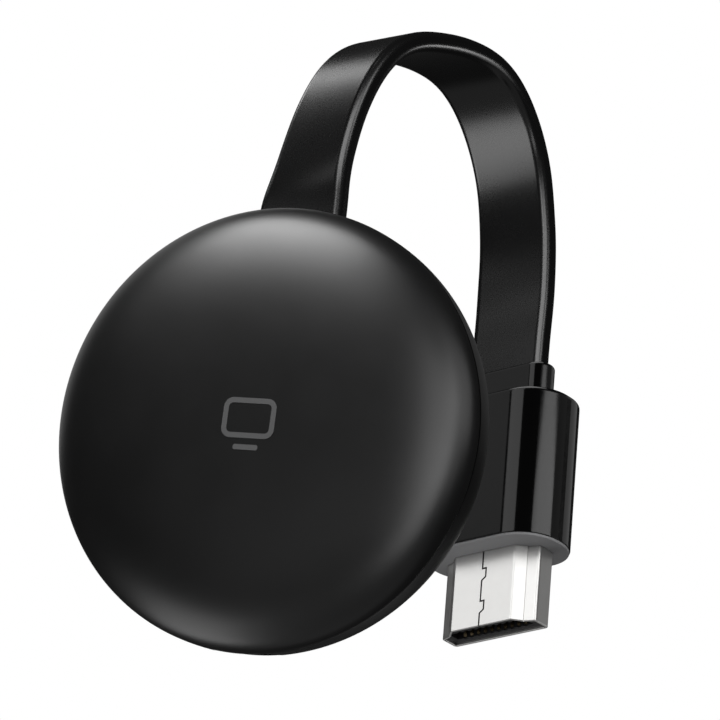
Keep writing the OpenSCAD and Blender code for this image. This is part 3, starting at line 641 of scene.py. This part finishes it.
def puck_matrix():
    """From the puck's own millimetres, with its back at zero, to the part's millimetres."""
    s = bpy.context.scene.adapter_puck
    return (Matrix.Translation(Vector(s.place) / MM) @ Matrix.Rotation(s.turn, 4, "Z")
            @ Matrix.Rotation(math.radians(90) + s.tilt, 4, "X") @ Matrix.Rotation(s.roll, 4, "Z")
            @ shift(0, 0, -s.seam / MM))


def bulge(value, power):
    return max(value, 0) ** (2 / power)


def dome_line(radius, height, seam, power, steps):
    """Rounded profile from the seam to the top of the dome."""
    return [(radius * bulge(math.cos(a), power), seam + height * bulge(math.sin(a), power))
            for a in quarter(steps)]


def dome_height(r, s):
    """Height of the outer dome over the back, at a distance from its middle."""
    top = (s.height - s.seam) / MM
    return s.seam / MM + top * (1 - (2 * r * MM / s.diameter) ** s.dome_power) ** (1 / s.dome_power)


def radial(degrees, z):
    """Matrix that points a turned form outwards through the rim."""
    return turn(degrees, "Z") @ shift(0, 0, z) @ turn(90, "Y")


def around(degrees, distance):
    """Matrix that moves an upright form out from the puck's middle."""
    return turn(degrees, "Z") @ shift(distance, 0, 0)


def seam_edge(s, way):
    """Rounded edge of a shell at the seam groove. way is 1 for the cover and -1 for the tray."""
    r, g, seam = s.diameter / 2 / MM, s.groove / MM, s.seam / MM
    return [(r - g + g * math.sin(t), seam + way * g - way * g * math.cos(t)) for t in quarter(5)]


class ADAPTER_OT_cover(bpy.types.Operator):
    """Domed front cover, turned from its rounded profile, with its three stakes"""
    bl_idname = "adapter.cover"
    bl_label = "Front cover"

    def execute(self, context):
        s = context.scene.adapter_puck
        r, wall, seam, g = s.diameter / 2 / MM, s.wall / MM, s.seam / MM, s.groove / MM
        rise = (s.height - s.seam) / MM
        outer = [p for p in dome_line(r, rise, seam, s.dome_power, 110) if p[1] > seam + g * PAST_GROOVE]
        inner = dome_line(r - wall, rise - s.front_wall / MM, seam, s.dome_power, 40)[::-1]
        inner[0], outer[-1] = (0, inner[0][1]), (0, outer[-1][1])
        profile = supported(inner + seam_edge(s, 1) + outer)
        cover = turned("front_cover", profile, ROUND_STEPS, "satin_black")
        stake = [(0, 7.7), (1.25, 7.7), (1.3, 7.75), (1.3, 8.15), (1.25, 8.2), (0.8, 8.2), (0.8, 9.2),
                 (1.8, 9.2), (1.8, 12), (0, 12)]
        stakes = [moved(turned("stake", stake, 32, "satin_black"), around(a, STAKE_AT)) for a in STAKES]
        carve(cover, stakes, "UNION")
        hand_over(place(cover, puck_matrix()), "satin_black", "front_shell")
        return {"FINISHED"}


class ADAPTER_OT_mark(bpy.types.Operator):
    """Small printed screen on the dome, a plain outline on a foot bar"""
    bl_idname = "adapter.mark"
    bl_label = "Screen mark"

    def execute(self, context):
        s = context.scene.adapter_puck
        width, depth, line, radius = 6.6, 4.7, 0.62, 1.15
        foot_width, foot_gap = 3.1, 0.75
        middle = np.array([1.05, -0.3])
        print_up, print_down = 0.03, -0.05

        def on_dome(outline, lift):
            return [(x, y, dome_height(math.hypot(x, y), s) + lift) for x, y in outline + middle]

        outside = slab(width, depth, radius, 10)
        inside = slab(width - 2 * line, depth - 2 * line, radius - line, 10)
        screen = loft("screen", [on_dome(outside, print_down), on_dome(outside, print_up),
                                 on_dome(inside, print_up), on_dome(inside, print_down)], closed=True)
        bar = slab(foot_width, line, line / 2, 8) + (0, -depth / 2 - foot_gap - line / 2)
        foot = loft("foot", [on_dome(bar, print_down), on_dome(bar, print_up)])
        mark = joined("screen_mark", [screen, foot])
        hand_over(place(mark, puck_matrix()), "satin_black", finish="screen_print")
        return {"FINISHED"}


class ADAPTER_OT_tray(bpy.types.Operator):
    """Rear tray with its lip, posts and the openings in its rim"""
    bl_idname = "adapter.tray"
    bl_label = "Rear tray"

    def execute(self, context):
        s, c = context.scene.adapter_puck, context.scene.adapter_cable
        sizes = s.diameter / 2, s.wall, s.seam, s.groove, s.back_wall, s.rear_draw
        r, wall, seam, g, back, draw = (size / MM for size in sizes)
        inside, bevel = r - wall, 1.2
        lip_out, lip_in, lip_low, lip_high = inside - 0.1, inside - 1, seam - 2, seam + 1.5
        arc = [(r - draw + draw * bulge(math.cos(a), s.rear_power),
                seam * (1 - bulge(math.sin(a), s.rear_power))) for a in quarter(48)]
        profile = [(0, back), (inside - bevel, back), (inside, back + bevel), (inside, lip_low),
                   (lip_in, lip_low), (lip_in, lip_high), (lip_out - 0.25, lip_high),
                   (lip_out, seam + 0.5), (lip_out, seam - g), (inside, seam - g), (inside, seam),
                   *seam_edge(s, -1), *(p for p in arc if p[1] < seam - g * PAST_GROOVE), (0, 0)]
        tray = turned("rear_tray", supported(profile), ROUND_STEPS, "matte_black")
        board = [around(a, BOARD_POST_AT) for a in BOARD_POSTS]
        ears = [shift(c.side / MM + side * EAR_SIDE, EAR_AT, 0) for side in (-1, 1)]
        posts = [moved(rod("post", 2.2, back / 2, 4.6, 40), at) for at in board]
        posts += [moved(rod("post", 1.4, back / 2, 2.5), at) for at in ears]
        carve(tray, posts, "UNION")
        bores = [moved(rod("bore", 0.85, back, 6), at) for at in board]
        bores += [moved(rod("bore", 0.7, 0.95, 5), at) for at in ears]
        cable_slot = moved(prism("slot", slab(c.width / MM + 0.3, c.thickness / MM + 0.3, c.edge / MM), 0, 6),
                           shift(c.side / MM, CABLE_AT, c.lift / MM) @ turn(-90, "X"))
        inlet = moved(prism("slot", slab(8.2, 3.3, 0.8), 0, 7.4),
                      shift(0, -19.6, INLET_HEIGHT) @ turn(90, "X"))
        hole = [(0, 22.4), (2.2, 22.4), (2.2, 24.85), (1.6, 24.85), (1.6, 28), (0, 28)]
        button = moved(turned("hole", hole, 40, "matte_black"), radial(*BUTTON))
        light = moved(rod("hole", 0.75, 22.8, 28), radial(*LIGHT))
        carve(tray, [*bores, cable_slot, inlet, button, light])
        hand_over(place(tray, puck_matrix()), "matte_black", "rear_shell")
        return {"FINISHED"}


class ADAPTER_OT_button(bpy.types.Operator):
    """Button cap that slides in the rim, and the end of the light pipe"""
    bl_idname = "adapter.button"
    bl_label = "Button and light pipe"

    def execute(self, context):
        crown = [(1.5 - i, 26.2 + z) for i, z in corner(0.2)]
        profile = [(0, 22.9), (0.85, 22.9), (0.9, 22.95), (0.9, 23.9), (2.05, 23.9), (2.1, 23.95),
                   (2.1, 24.55), (2.05, 24.6), (1.5, 24.6), *crown, (0.8, 26.43), (0, 26.45)]
        cap = turned("button", supported(profile), 64, "button_black")
        hand_over(place(cap, puck_matrix() @ radial(*BUTTON)), "button_black", "button_cap", body="button")
        end = [(0.7 - i, 25.9 + z) for i, z in corner(0.15, 5)]
        profile = [(0, 21.9), (0.65, 21.9), (0.7, 21.95), *end, (0.3, 26.12), (0, 26.13)]
        pipe = turned("light_pipe_rod", supported(profile), 40, "clear_pipe")
        hand_over(place(pipe, puck_matrix() @ radial(*LIGHT)), "clear_pipe", "light_pipe")
        return {"FINISHED"}


class ADAPTER_OT_inlet(bpy.types.Operator):
    """Micro USB power inlet: folded shell and its row of contacts"""
    bl_idname = "adapter.inlet"
    bl_label = "Power inlet"

    def execute(self, context):
        w, h, sheet, bevel = 3.75, 1.3, 0.3, 0.8
        at = shift(0, -INLET_MOUTH, INLET_HEIGHT) @ turn(90, "X") @ Matrix.Diagonal((1, 1, -1, 1))

        def section(inset):
            a, b, r = w - inset, h - inset, 0.35 - inset / 2
            return rounded([(-a, b, r), (-a, -b + bevel, r), (-a + bevel, -b, r), (a - bevel, -b, r),
                            (a, -b + bevel, r), (a, b, r)], 5)

        rings = [(sheet, 5), (sheet, 0.15), (sheet - 0.05, 0.03), (sheet - 0.12, 0), (0.12, 0), (0.03, 0.03),
                 (0, 0.15), (0, 5)]
        shell = loft("inlet_shell", [at_height(section(inset), z) for inset, z in rings], closed=True)
        hand_over(place(shell, puck_matrix() @ at), "inlet_steel", "usb_shell")
        pin = strip([(-0.05, 4.2), (-0.05, 1.25), (0.02, 1.05)], 0.35, 0.1)
        contact_row("inlet_contacts", "usb_contacts", pin, 5, 0.65, puck_matrix() @ at)
        return {"FINISHED"}


# Cable

ROUTE = [
    (-1.3, -38.6, 33.9), (-0.8, -38.1, 38.1), (-0.3, -37.4, 42.3), (0.2, -36.3, 46.1), (0.6, -34.6, 49.8),
    (0.9, -32.1, 53), (1.2, -28.9, 55.3), (1.3, -25.1, 56.9), (1.3, -21.1, 58.1), (1.3, -17, 58.8),
    (1.1, -13.1, 58.9), (0.9, -9.5, 57.7), (0.7, -6.4, 55.3), (0.5, -3.9, 52.3), (0.4, -2.1, 48.7),
    (0.3, -1.1, 44.7), (0.3, -0.4, 40.6), (0.2, -0.1, 36.4), (0.1, 0.1, 32.3)]
ROUTE_PITCH = 4.1    # distance of the route points on the straight ends
ROUTE_STEPS = 10     # rings in each stretch between two route points
CAD_STEPS = 3        # and in the solid cable, whose twist this one follows
TWIST_EASE = 8       # how soon the cable turns from the puck's level to the plug's
TWIST_SPREAD = 5     # rings on each side that share a ring's turn
# Roll about the cable's own line: share of the run, and degrees
ROLL = [(0, 0), (0.06, -8.7), (0.125, -6.8), (0.25, 0.1), (0.375, 5.9), (0.5, 4.5), (0.625, 2.6), (0.75, 2),
        (0.875, -2), (1, 0)]


def cable_line(scene):
    """Centreline and widthwise directions of the cable, in the part's millimetres."""
    c, p = scene.adapter_cable, scene.adapter_plug
    puck = puck_matrix()
    start = np.array(puck @ Vector((c.side / MM, CABLE_AT, c.lift / MM)))
    out = np.array(puck.to_3x3() @ Vector((0, 1, 0)))
    across = np.array(puck.to_3x3() @ Vector((1, 0, 0)))
    top = (p.boot_height + p.collar_height) / MM
    steps = (-ROUTE_PITCH, 0, ROUTE_PITCH)
    pulls = np.array([start + k * out for k in steps] + [np.array(q, float) for q in ROUTE]
                     + [np.array([0, 0, top - k]) for k in steps])
    line, along = [], []
    spans = len(pulls) - 3
    for i in range(1, spans + 1):
        a, b, c_, d = pulls[i - 1:i + 3]
        for t in np.arange(ROUTE_STEPS + (i == spans)) / ROUTE_STEPS:
            line.append(((1 - t) ** 3 * a + (3 * t**3 - 6 * t * t + 4) * b
                         + (-3 * t**3 + 3 * t * t + 3 * t + 1) * c_ + t**3 * d) / 6)
            slope = (-(1 - t) ** 2 * a + (3 * t * t - 4 * t) * b
                     + (-3 * t * t + 2 * t + 1) * c_ + t * t * d) / 2
            along.append(slope / np.linalg.norm(slope))
    sides, last = [], spans * CAD_STEPS
    for i, t in enumerate(along):
        run = max(0, i * CAD_STEPS / ROUTE_STEPS - CAD_STEPS) / (last - CAD_STEPS)
        mix = 1 - (1 - run) ** TWIST_EASE
        wish = (1 - mix) * across + mix * np.array([1, 0, 0])
        wish -= (wish @ t) * t
        level = wish / np.linalg.norm(wish)
        roll = math.radians(np.interp(run, *zip(*ROLL)))
        sides.append(level * math.cos(roll) + np.cross(t, level) * math.sin(roll))
    # The jacket is stiff, so its turn is spread over its neighbouring rings
    padded = np.pad(np.array(sides), ((TWIST_SPREAD, TWIST_SPREAD), (0, 0)), mode="edge")
    sides = sum(padded[k:k + len(line)] for k in range(2 * TWIST_SPREAD + 1))
    sides -= np.sum(sides * along, axis=1)[:, None] * along
    sides /= np.linalg.norm(sides, axis=1)[:, None]
    return np.array(line), np.array(along), sides


class ADAPTER_OT_cable(bpy.types.Operator):
    """Flat cable with rounded edges, over its arch from the puck to the plug"""
    bl_idname = "adapter.cable"
    bl_label = "Flat cable"

    def execute(self, context):
        c = context.scene.adapter_cable
        line, along, sides = cable_line(context.scene)
        outline = slab(c.width / MM, c.thickness / MM, c.edge / MM, 9)
        rings = [[p + x * u + y * np.cross(t, u) for x, y in outline] for p, t, u in zip(line, along, sides)]
        hand_over(place(loft("cable", rings)), "cable_black", "flat_cable")
        return {"FINISHED"}


class ADAPTER_OT_cable_facts(bpy.types.Operator):
    """Works out the points of the cable's centreline in metres"""
    bl_idname = "adapter.cable_facts"
    bl_label = "Cable facts"

    def execute(self, context):
        line = cable_line(context.scene)[0] * MM
        tuple(line[0])
        [tuple(p) for p in line]
        return {"FINISHED"}


# Plug

NARROW_SHARE = 0.633             # width of the shell's narrow face, as a share of the wide one
FOLD_OUT, FOLD_UP = 1.15, 1.2    # slope from the narrow face's end to the inner fold


def shell_section(inset, s):
    """Outline of the connector's shell: a wide face at +Y, a narrow one at -Y and stepped corners between."""
    w, h = s.shell_width / 2 / MM, s.shell_height / 2 / MM
    narrow, r = w * NARROW_SHARE - inset * 0.41, 0.45 - inset / 2
    wide, low, high = w - inset, -h + inset, h - inset
    slope, step = low + FOLD_UP, low + 1.7
    right = [(narrow, low, r), (narrow + FOLD_OUT, slope, r / 2), (wide, step, r), (wide, high, r)]
    left = [(-x, y, radius) for x, y, radius in right[::-1]]
    return rounded([left[-1], *right, *left[:-1]], 6)


def ribbon(line, width):
    """Outline of a line of that width, mitred at its corners."""
    line = np.array(line, float)
    runs = np.diff(line, axis=0)
    runs /= np.linalg.norm(runs, axis=1)[:, None]
    sides = np.stack([-runs[:, 1], runs[:, 0]], axis=1)
    mitres = np.vstack([sides[:1], sides[:-1] + sides[1:], sides[-1:]])
    mitres /= (mitres * np.vstack([sides, sides[-1:]])).sum(axis=1)[:, None]
    return [*(line + mitres * width / 2), *(line - mitres * width / 2)[::-1]]


def strip(line, width, thick):
    """Rings of a bent strip of metal: its middle line runs in the YZ plane, its width along X."""
    line = np.array(line, float)
    ways = np.gradient(line, axis=0)
    ways /= np.linalg.norm(ways, axis=1)[:, None]
    rings = []
    for (y, z), (dy, dz) in zip(line, ways):
        ny, nz = -dz * thick / 2, dy * thick / 2
        rings.append([(-width / 2, y - ny, z - nz), (width / 2, y - ny, z - nz),
                      (width / 2, y + ny, z + nz), (-width / 2, y + ny, z + nz)])
    return rings


def contact_row(name, node, rings, count, pitch, matrix=None):
    """A row of like gold plated contacts, each lofted from those rings."""
    row = run_tree(loft(name, rings), TREES["row"],
                   {"Count": count, "Pitch": pitch, "Finish": FINISHES["gold_contacts"]})
    hand_over(place(row, matrix), "gold_contacts", node)


class ADAPTER_OT_grip(bpy.types.Operator):
    """Glossy grip, its collar and the matte end plate"""
    bl_idname = "adapter.grip"
    bl_label = "Grip"

    def execute(self, context):
        s = context.scene.adapter_plug
        sizes = s.boot_width, s.boot_depth, s.boot_height, s.boot_corner, s.boot_wall, s.plate
        w, d, top, r, wall, plate = (size / MM for size in sizes)
        cw, cd, rise = s.collar_width / MM, s.collar_depth / MM, s.collar_height / MM

        def outline(inset):
            return slab(w - 2 * inset, d - 2 * inset, r - inset, 14)

        def ovals(extra):
            return slab(cw + 2 * extra, cd + 2 * extra, cd / 2 + extra, 14)

        foot = [(i, plate + 0.12 - z) for i, z in corner(0.12, 4)][::-1]
        head = [(i, top - 0.5 + z) for i, z in corner(0.5, 8)]
        rings = [at_height(outline(i), z) for i, z in supported(foot + head)]
        rings += [at_height(outline(0.55), top), at_height(ovals(0.15), top),
                  at_height(ovals(0.1), top - 0.05), at_height(ovals(0.1), top - wall),
                  at_height(outline(wall), top - wall), at_height(outline(wall), plate)]
        hand_over(place(loft("grip", rings, closed=True)), "boot_black", "plug_boot")

        base = top - wall
        side = supported([(0, base)] + [(i, top + rise - 0.45 + z) for i, z in corner(0.45, 8)])
        rings = [at_height(ovals(0.7), base - 1.2), at_height(ovals(0.7), base)]
        collar = loft("collar", rings + [at_height(ovals(-i), z) for i, z in side])
        carve(collar, [prism("channel", slab(8.6, 2.05, 0.1, 2), 15, top + rise - 0.3)])
        hand_over(place(collar), "boot_black", "plug_collar")

        inset = 0.12
        rim = [(inset + i, 0.1 - z) for i, z in corner(0.1, 4)][::-1]
        rim += [(inset, plate), (wall + 0.1, plate), (wall + 0.1, plate + 1.2)]
        end_plate = loft("end_plate", [at_height(outline(i), z) for i, z in supported(rim)])
        carve(end_plate, [prism("hole", shell_section(-0.05, s), -2, 4)])
        hand_over(place(end_plate), "plate_grey", "plug_end_plate")
        return {"FINISHED"}


class ADAPTER_OT_connector(bpy.types.Operator):
    """Folded nickel shell of the plug with its jigsaw seam and its fold lines"""
    bl_idname = "adapter.connector"
    bl_label = "Connector shell"

    def execute(self, context):
        s = context.scene.adapter_plug
        out, root, sheet = s.shell_out / MM, s.shell_in / MM, s.sheet / MM
        lip = 0.1
        rings = supported([(0, root)] + [(i, -out + lip - z) for i, z in corner(lip, 4)]
                          + [(sheet - i, -out + lip - z) for i, z in corner(lip, 4)][::-1] + [(sheet, root)])
        shell = loft("connector_shell", [at_height(shell_section(i, s), z) for i, z in rings], closed=True)
        past, seam_x, tab_x = 1, -0.2, 0.35
        line = [(seam_x, root + past)]
        for share_down in (0.23, 0.67):
            top = -out * share_down
            low = top - out * 0.16
            line += [(seam_x, top), (tab_x, top), (tab_x, low + 0.4), (seam_x, low)]
        line.append((seam_x, -out - past))
        seam = moved(prism("seam", ribbon(line, 0.22), 0, 1.4),
                     shift(0, -s.shell_height / 2 / MM + 0.6, 0) @ turn(90, "X"))
        x, y = s.shell_width / 2 / MM * NARROW_SHARE + FOLD_OUT, FOLD_UP - s.shell_height / 2 / MM
        creases = [prism("crease", ribbon([(side * (x - 0.11), y + 0.19), (side * (x + 0.1), y - 0.17)], 0.1),
                         -out - past, root + past) for side in (1, -1)]
        carve(shell, [seam, *creases])
        hand_over(place(shell), "plug_nickel", "hdmi_shell")
        return {"FINISHED"}


class ADAPTER_OT_contacts(bpy.types.Operator):
    """Two rows of gold plated contacts with sprung noses"""
    bl_idname = "adapter.contacts"
    bl_label = "Plug contacts"

    def execute(self, context):
        s = context.scene.adapter_plug
        line = [(0.95, -9), (0.82, -8.7), (0.78, -8.4), (0.82, -8), (0.9, -7.2), (0.9, 4), (0.9, 5.3),
                (0.82, 5.5), (0.66, 5.5), (0.6, 5.75), (0.6, 8)]
        for row, count, side in (("wide", s.wide_contacts, 1), ("narrow", s.narrow_contacts, -1)):
            contact_row(f"contacts_{row}_side", f"hdmi_contacts_{row}",
                        strip([(side * y, z) for y, z in line], 0.4, 0.2), count, s.contact_pitch / MM)
        return {"FINISHED"}


# Parts whose solids keep their shape

CARRIED = {
    "circuit_board": ["main_board", "plug_board"],
    "screw_steel": ["board_screws", "anchor_screws"],
    "chip_black": ["processor_chip", "memory_chip", "storage_chip", "power_chip", "wifi_chip", "switch_body"],
    "can_metal": ["crystal", "shield_frame", "shield_lid", "rear_shield"],
    "ferrite": ["inductors"],
    "ceramic_tan": ["capacitors"],
    "thermal_pad": ["processor_pad", "spreader_pad"],
    "spreader_aluminium": ["heat_spreader"],
    "antenna_metal": ["antenna_left", "antenna_right"],
    "inlet_black": ["usb_tongue"],
    "switch_white": ["switch_plunger"],
    "led_resin": ["status_led"],
    "boot_black": ["cable_anchor"],
    "wire_copper": ["puck_wires", "plug_wires"],
    "mould_ivory": ["plug_inner_mould"],
    "insulator_black": ["hdmi_insulator"],
}


class ADAPTER_OT_inside(bpy.types.Operator):
    """Finishes for the boards, chips, shields and mouldings that keep their solids"""
    bl_idname = "adapter.inside"
    bl_label = "Inside parts"

    def execute(self, context):
        for slot, nodes in CARRIED.items():
            for node in nodes:
                mesh = frame["nodes"][node].data
                mesh.materials.clear()
                mesh.materials.append(FINISHES[slot])
        return {"FINISHED"}


# Studio

CAMERA_PLACE = (0.4027, -0.5097, -0.26245)
CAMERA_AXES = ((0.7857, 0.1952, 0.5869), (0.6139, -0.3615, -0.7017), (0.0753, 0.9117, -0.4039))
CAMERA_LENS = 293.24
MIDDLE = Vector((0, -0.02, 0.015))    # the point that the panels face
FLOOR_STEPS = 96

# Panels by the pieces that they light: azimuth (0 in front at -Y, 90 at +X) and elevation in degrees,
# width and height at one metre, and brightness. The dark plastics each have their own, as in the photograph.
PANELS = {
    "puck": [(-4, 35, 0.48, 0.18, 8.55), (-8, 55, 0.65, 0.47, 11.6), (97, 18, 1.07, 0.58, 1.35),
             (58, -2, 0.81, 0.73, 2.45), (61, -30, 0.46, 0.53, 2.55), (-74, -47, 0.98, 0.5, 2.35),
             (3, -19, 0.65, 0.51, 0.37), (84, -4, 0.85, 0.69, 0.69), (-105, 36, 0.9, 0.75, 0.5)],
    "tray": [(180, 33, 1, 0.5, 0.24), (168, -34, 0.9, 0.4, 0.9), (-115, 14, 0.7, 0.9, 2)],
    "cable": [(2, 50, 0.08, 0.08, 4.6), (5, 69, 0.08, 0.08, 2.6), (40, 22, 0.52, 0.69, 5),
              (28, -35, 0.57, 0.17, 3.7), (-53, -23, 0.52, 0.75, 3.9), (-82, 50, 0.27, 0.24, 4.8),
              (-33, 25, 0.27, 0.08, 1.7), (75, 32, 0.27, 0.43, 4.8), (14, 18, 0.28, 0.8, 6),
              (148, -3, 0.22, 0.25, 7), (140, -18, 0.5, 0.3, 1.5)],
    "grip": [(-11, 23, 0.58, 0.88, 1.1), (-50, 42, 0.56, 0.76, 0.39), (83, 8, 1.04, 0.6, 2.1),
             (103, 18, 1.36, 0.86, 0.15), (160, 20, 0.55, 0.69, 0.43), (-20, 78, 0.9, 0.9, 2),
             (138, -16, 0.7, 0.4, 0.6), (-130, -16, 0.7, 0.4, 0.6), (-20, -18, 0.7, 0.4, 0.6)],
    "connector": [(-35, 22, 0.8, 0.8, 1.02), (14, 22, 0.62, 0.8, 1.55), (66, 22, 0.8, 0.8, 1.6),
                  (150, 24, 0.6, 0.8, 0.2), (138, -16, 0.8, 0.35, 1), (-130, -16, 0.8, 0.35, 0.3),
                  (-20, -18, 1.2, 0.4, 1)],
}
# Pieces that only their own group's panels light, and those that none light. The puck's light the rest
LIT = {"cable": ["cable"], "tray": ["rear_tray"], "grip": ["grip", "collar"],
       "connector": ["connector_shell", "hdmi_insulator"]}
UNLIT = ["contacts_wide_side", "contacts_narrow_side", "floor"]
# All that shades the plug from the front: in the photograph the puck throws no shade there
SHADING = ["grip", "collar", "end_plate", "connector_shell"]
# All that reflections show besides the panels: the puck isn't mirrored in the plug either
MIRRORED = [*SHADING, "hdmi_insulator", "contacts_wide_side", "contacts_narrow_side", "floor"]
# Panels with a list of their own for what throws shade: those below this elevation,
LOW_PANELS = -24
# and the plug's between these azimuths, which shine past the puck
FRONT_PANELS = (-70, 30)


def linked(name, pieces, state):
    collection = bpy.data.collections.new(name)
    for piece in pieces:
        collection.objects.link(bpy.data.objects[piece])
    for entry in collection.collection_objects:
        entry.light_linking.link_state = state
    return collection


def panels(group, dimmer):
    """The soft panels of one group, linked to the pieces that they light and that shade them."""
    others = [*UNLIT, *(name for names in LIT.values() for name in names)]
    lit = linked(group + " light", LIT.get(group, others), "INCLUDE" if group in LIT else "EXCLUDE")
    plug = group in ("grip", "connector")
    shading = linked(group + " shade", SHADING if plug else ["floor"], "INCLUDE" if plug else "EXCLUDE")
    for i, (azimuth, elevation, width, height, brightness) in enumerate(PANELS[group]):
        a, e = math.radians(azimuth), math.radians(elevation)
        way = Vector((math.sin(a) * math.cos(e), -math.cos(a) * math.cos(e), math.sin(e)))
        light = bpy.data.lights.new(f"{group} panel {i + 1}", "AREA")
        light.shape, light.size, light.size_y = "RECTANGLE", width, height
        light.energy = dimmer * brightness * math.pi * width * height
        lamp = bpy.data.objects.new(light.name, light)
        lamp.location = MIDDLE + way
        lamp.rotation_mode = "QUATERNION"
        lamp.rotation_quaternion = (-way).to_track_quat("-Z", "Y")
        lamp.visible_camera = False
        lamp.light_linking.receiver_collection = lit
        if elevation < LOW_PANELS or plug and FRONT_PANELS[0] < azimuth < FRONT_PANELS[1]:
            lamp.light_linking.blocker_collection = shading
        bpy.context.scene.collection.objects.link(lamp)


class ADAPTER_OT_camera(bpy.types.Operator):
    """Camera in front, turned towards +X, and below"""
    bl_idname = "adapter.camera"
    bl_label = "Camera"

    def execute(self, context):
        data = bpy.data.cameras.new("Camera")
        data.lens, data.sensor_width, data.clip_start, data.clip_end = CAMERA_LENS, 36, 0.01, 20
        camera = bpy.data.objects.new("Camera", data)
        turned_to = Matrix(CAMERA_AXES).to_quaternion()
        camera.matrix_world = Matrix.LocRotScale(Vector(CAMERA_PLACE), turned_to, None)
        context.scene.collection.objects.link(camera)
        context.scene.camera = camera
        return {"FINISHED"}


class ADAPTER_OT_stage(bpy.types.Operator):
    """Pale floor, white room and soft panels"""
    bl_idname = "adapter.stage"
    bl_label = "Stage"

    def execute(self, context):
        s = context.scene.adapter_studio
        context.scene.view_settings.view_transform = "Standard"
        world = bpy.data.worlds.new("Studio")
        context.scene.world = world
        world.use_nodes = True
        g = Graph(world.node_tree)
        seen = g.add("ShaderNodeLightPath", out="Is Camera Ray")
        back = world.node_tree.nodes["Background"]
        g.put(back.inputs["Color"], (1, 1, 1, 1))
        g.put(back.inputs["Strength"], seen * (1 - s.ambient) + s.ambient)

        radius = s.floor_size / 2
        floor = add_piece("floor", at_height(circle(radius, FLOOR_STEPS), 0), [tuple(range(FLOOR_STEPS))])
        floor.location.z = -s.floor_drop
        pale = bpy.data.materials.new("Pale floor")
        pale.use_nodes = True
        g = Graph(pale.node_tree)
        at = g.add("ShaderNodeTexCoord", out="Object")
        away = g.add("ShaderNodeVectorMath", {"operation": "LENGTH"}, {0: at})
        body = pale.node_tree.nodes["Principled BSDF"]
        seen = g.add("ShaderNodeLightPath", out="Is Camera Ray")
        g.put(body.inputs["Base Color"], (0.1, 0.1, 0.1, 1))
        g.put(body.inputs["Emission Color"], (1, 1, 1, 1))
        g.put(body.inputs["Emission Strength"], seen * (s.floor_pale - s.floor_glow) + s.floor_glow)
        g.put(body.inputs["Roughness"], 0.9)
        g.put(body.inputs["Alpha"], 1 - g.spread(away, radius * 0.75, radius))
        floor.data.materials.append(pale)

        for group in PANELS:
            panels(group, s.dimmer)
        for piece in bpy.data.objects:
            if piece.type == "MESH":
                piece.visible_glossy = piece.name in MIRRORED
        return {"FINISHED"}


class ADAPTER_PT_panel(bpy.types.Panel):
    """Sizes, finishes and steps of the adapter"""
    bl_label = "Wireless HDMI adapter"
    bl_space_type = "VIEW_3D"
    bl_region_type = "UI"
    bl_category = "Adapter"

    def draw(self, context):
        for group in GROUPS:
            box = self.layout.box()
            box.label(text=group.__doc__)
            for name in group.__annotations__:
                box.prop(getattr(context.scene, GROUPS[group]), name)
        for step in STEPS:
            self.layout.operator(step.bl_idname)


GROUPS = {PuckSizes: "adapter_puck", CableSizes: "adapter_cable", PlugSizes: "adapter_plug",
          FinishSettings: "adapter_finish", StudioSettings: "adapter_studio"}
STEPS = [ADAPTER_OT_camera, ADAPTER_OT_cable, ADAPTER_OT_cover, ADAPTER_OT_mark, ADAPTER_OT_tray,
         ADAPTER_OT_button, ADAPTER_OT_inlet, ADAPTER_OT_grip, ADAPTER_OT_connector, ADAPTER_OT_contacts,
         ADAPTER_OT_inside, ADAPTER_OT_cable_facts, ADAPTER_OT_stage]
FINISHES, TREES = {}, {}


def register():
    for group, name in GROUPS.items():
        bpy.utils.register_class(group)
        setattr(bpy.types.Scene, name, PointerProperty(type=group))
    for cls in [*STEPS, ADAPTER_PT_panel]:
        bpy.utils.register_class(cls)


def unregister():
    for cls in [ADAPTER_PT_panel, *reversed(STEPS)]:
        bpy.utils.unregister_class(cls)
    for group, name in GROUPS.items():
        delattr(bpy.types.Scene, name)
        bpy.utils.unregister_class(group)


def main():
    register()
    FINISHES.update(finishes(bpy.context.scene.adapter_finish))
    TREES.update(turned=turned_tree(), row=row_tree())
    for step in STEPS:
        group, name = step.bl_idname.split(".")
        getattr(getattr(bpy.ops, group), name)()


if __name__ == "__main__":
    main()
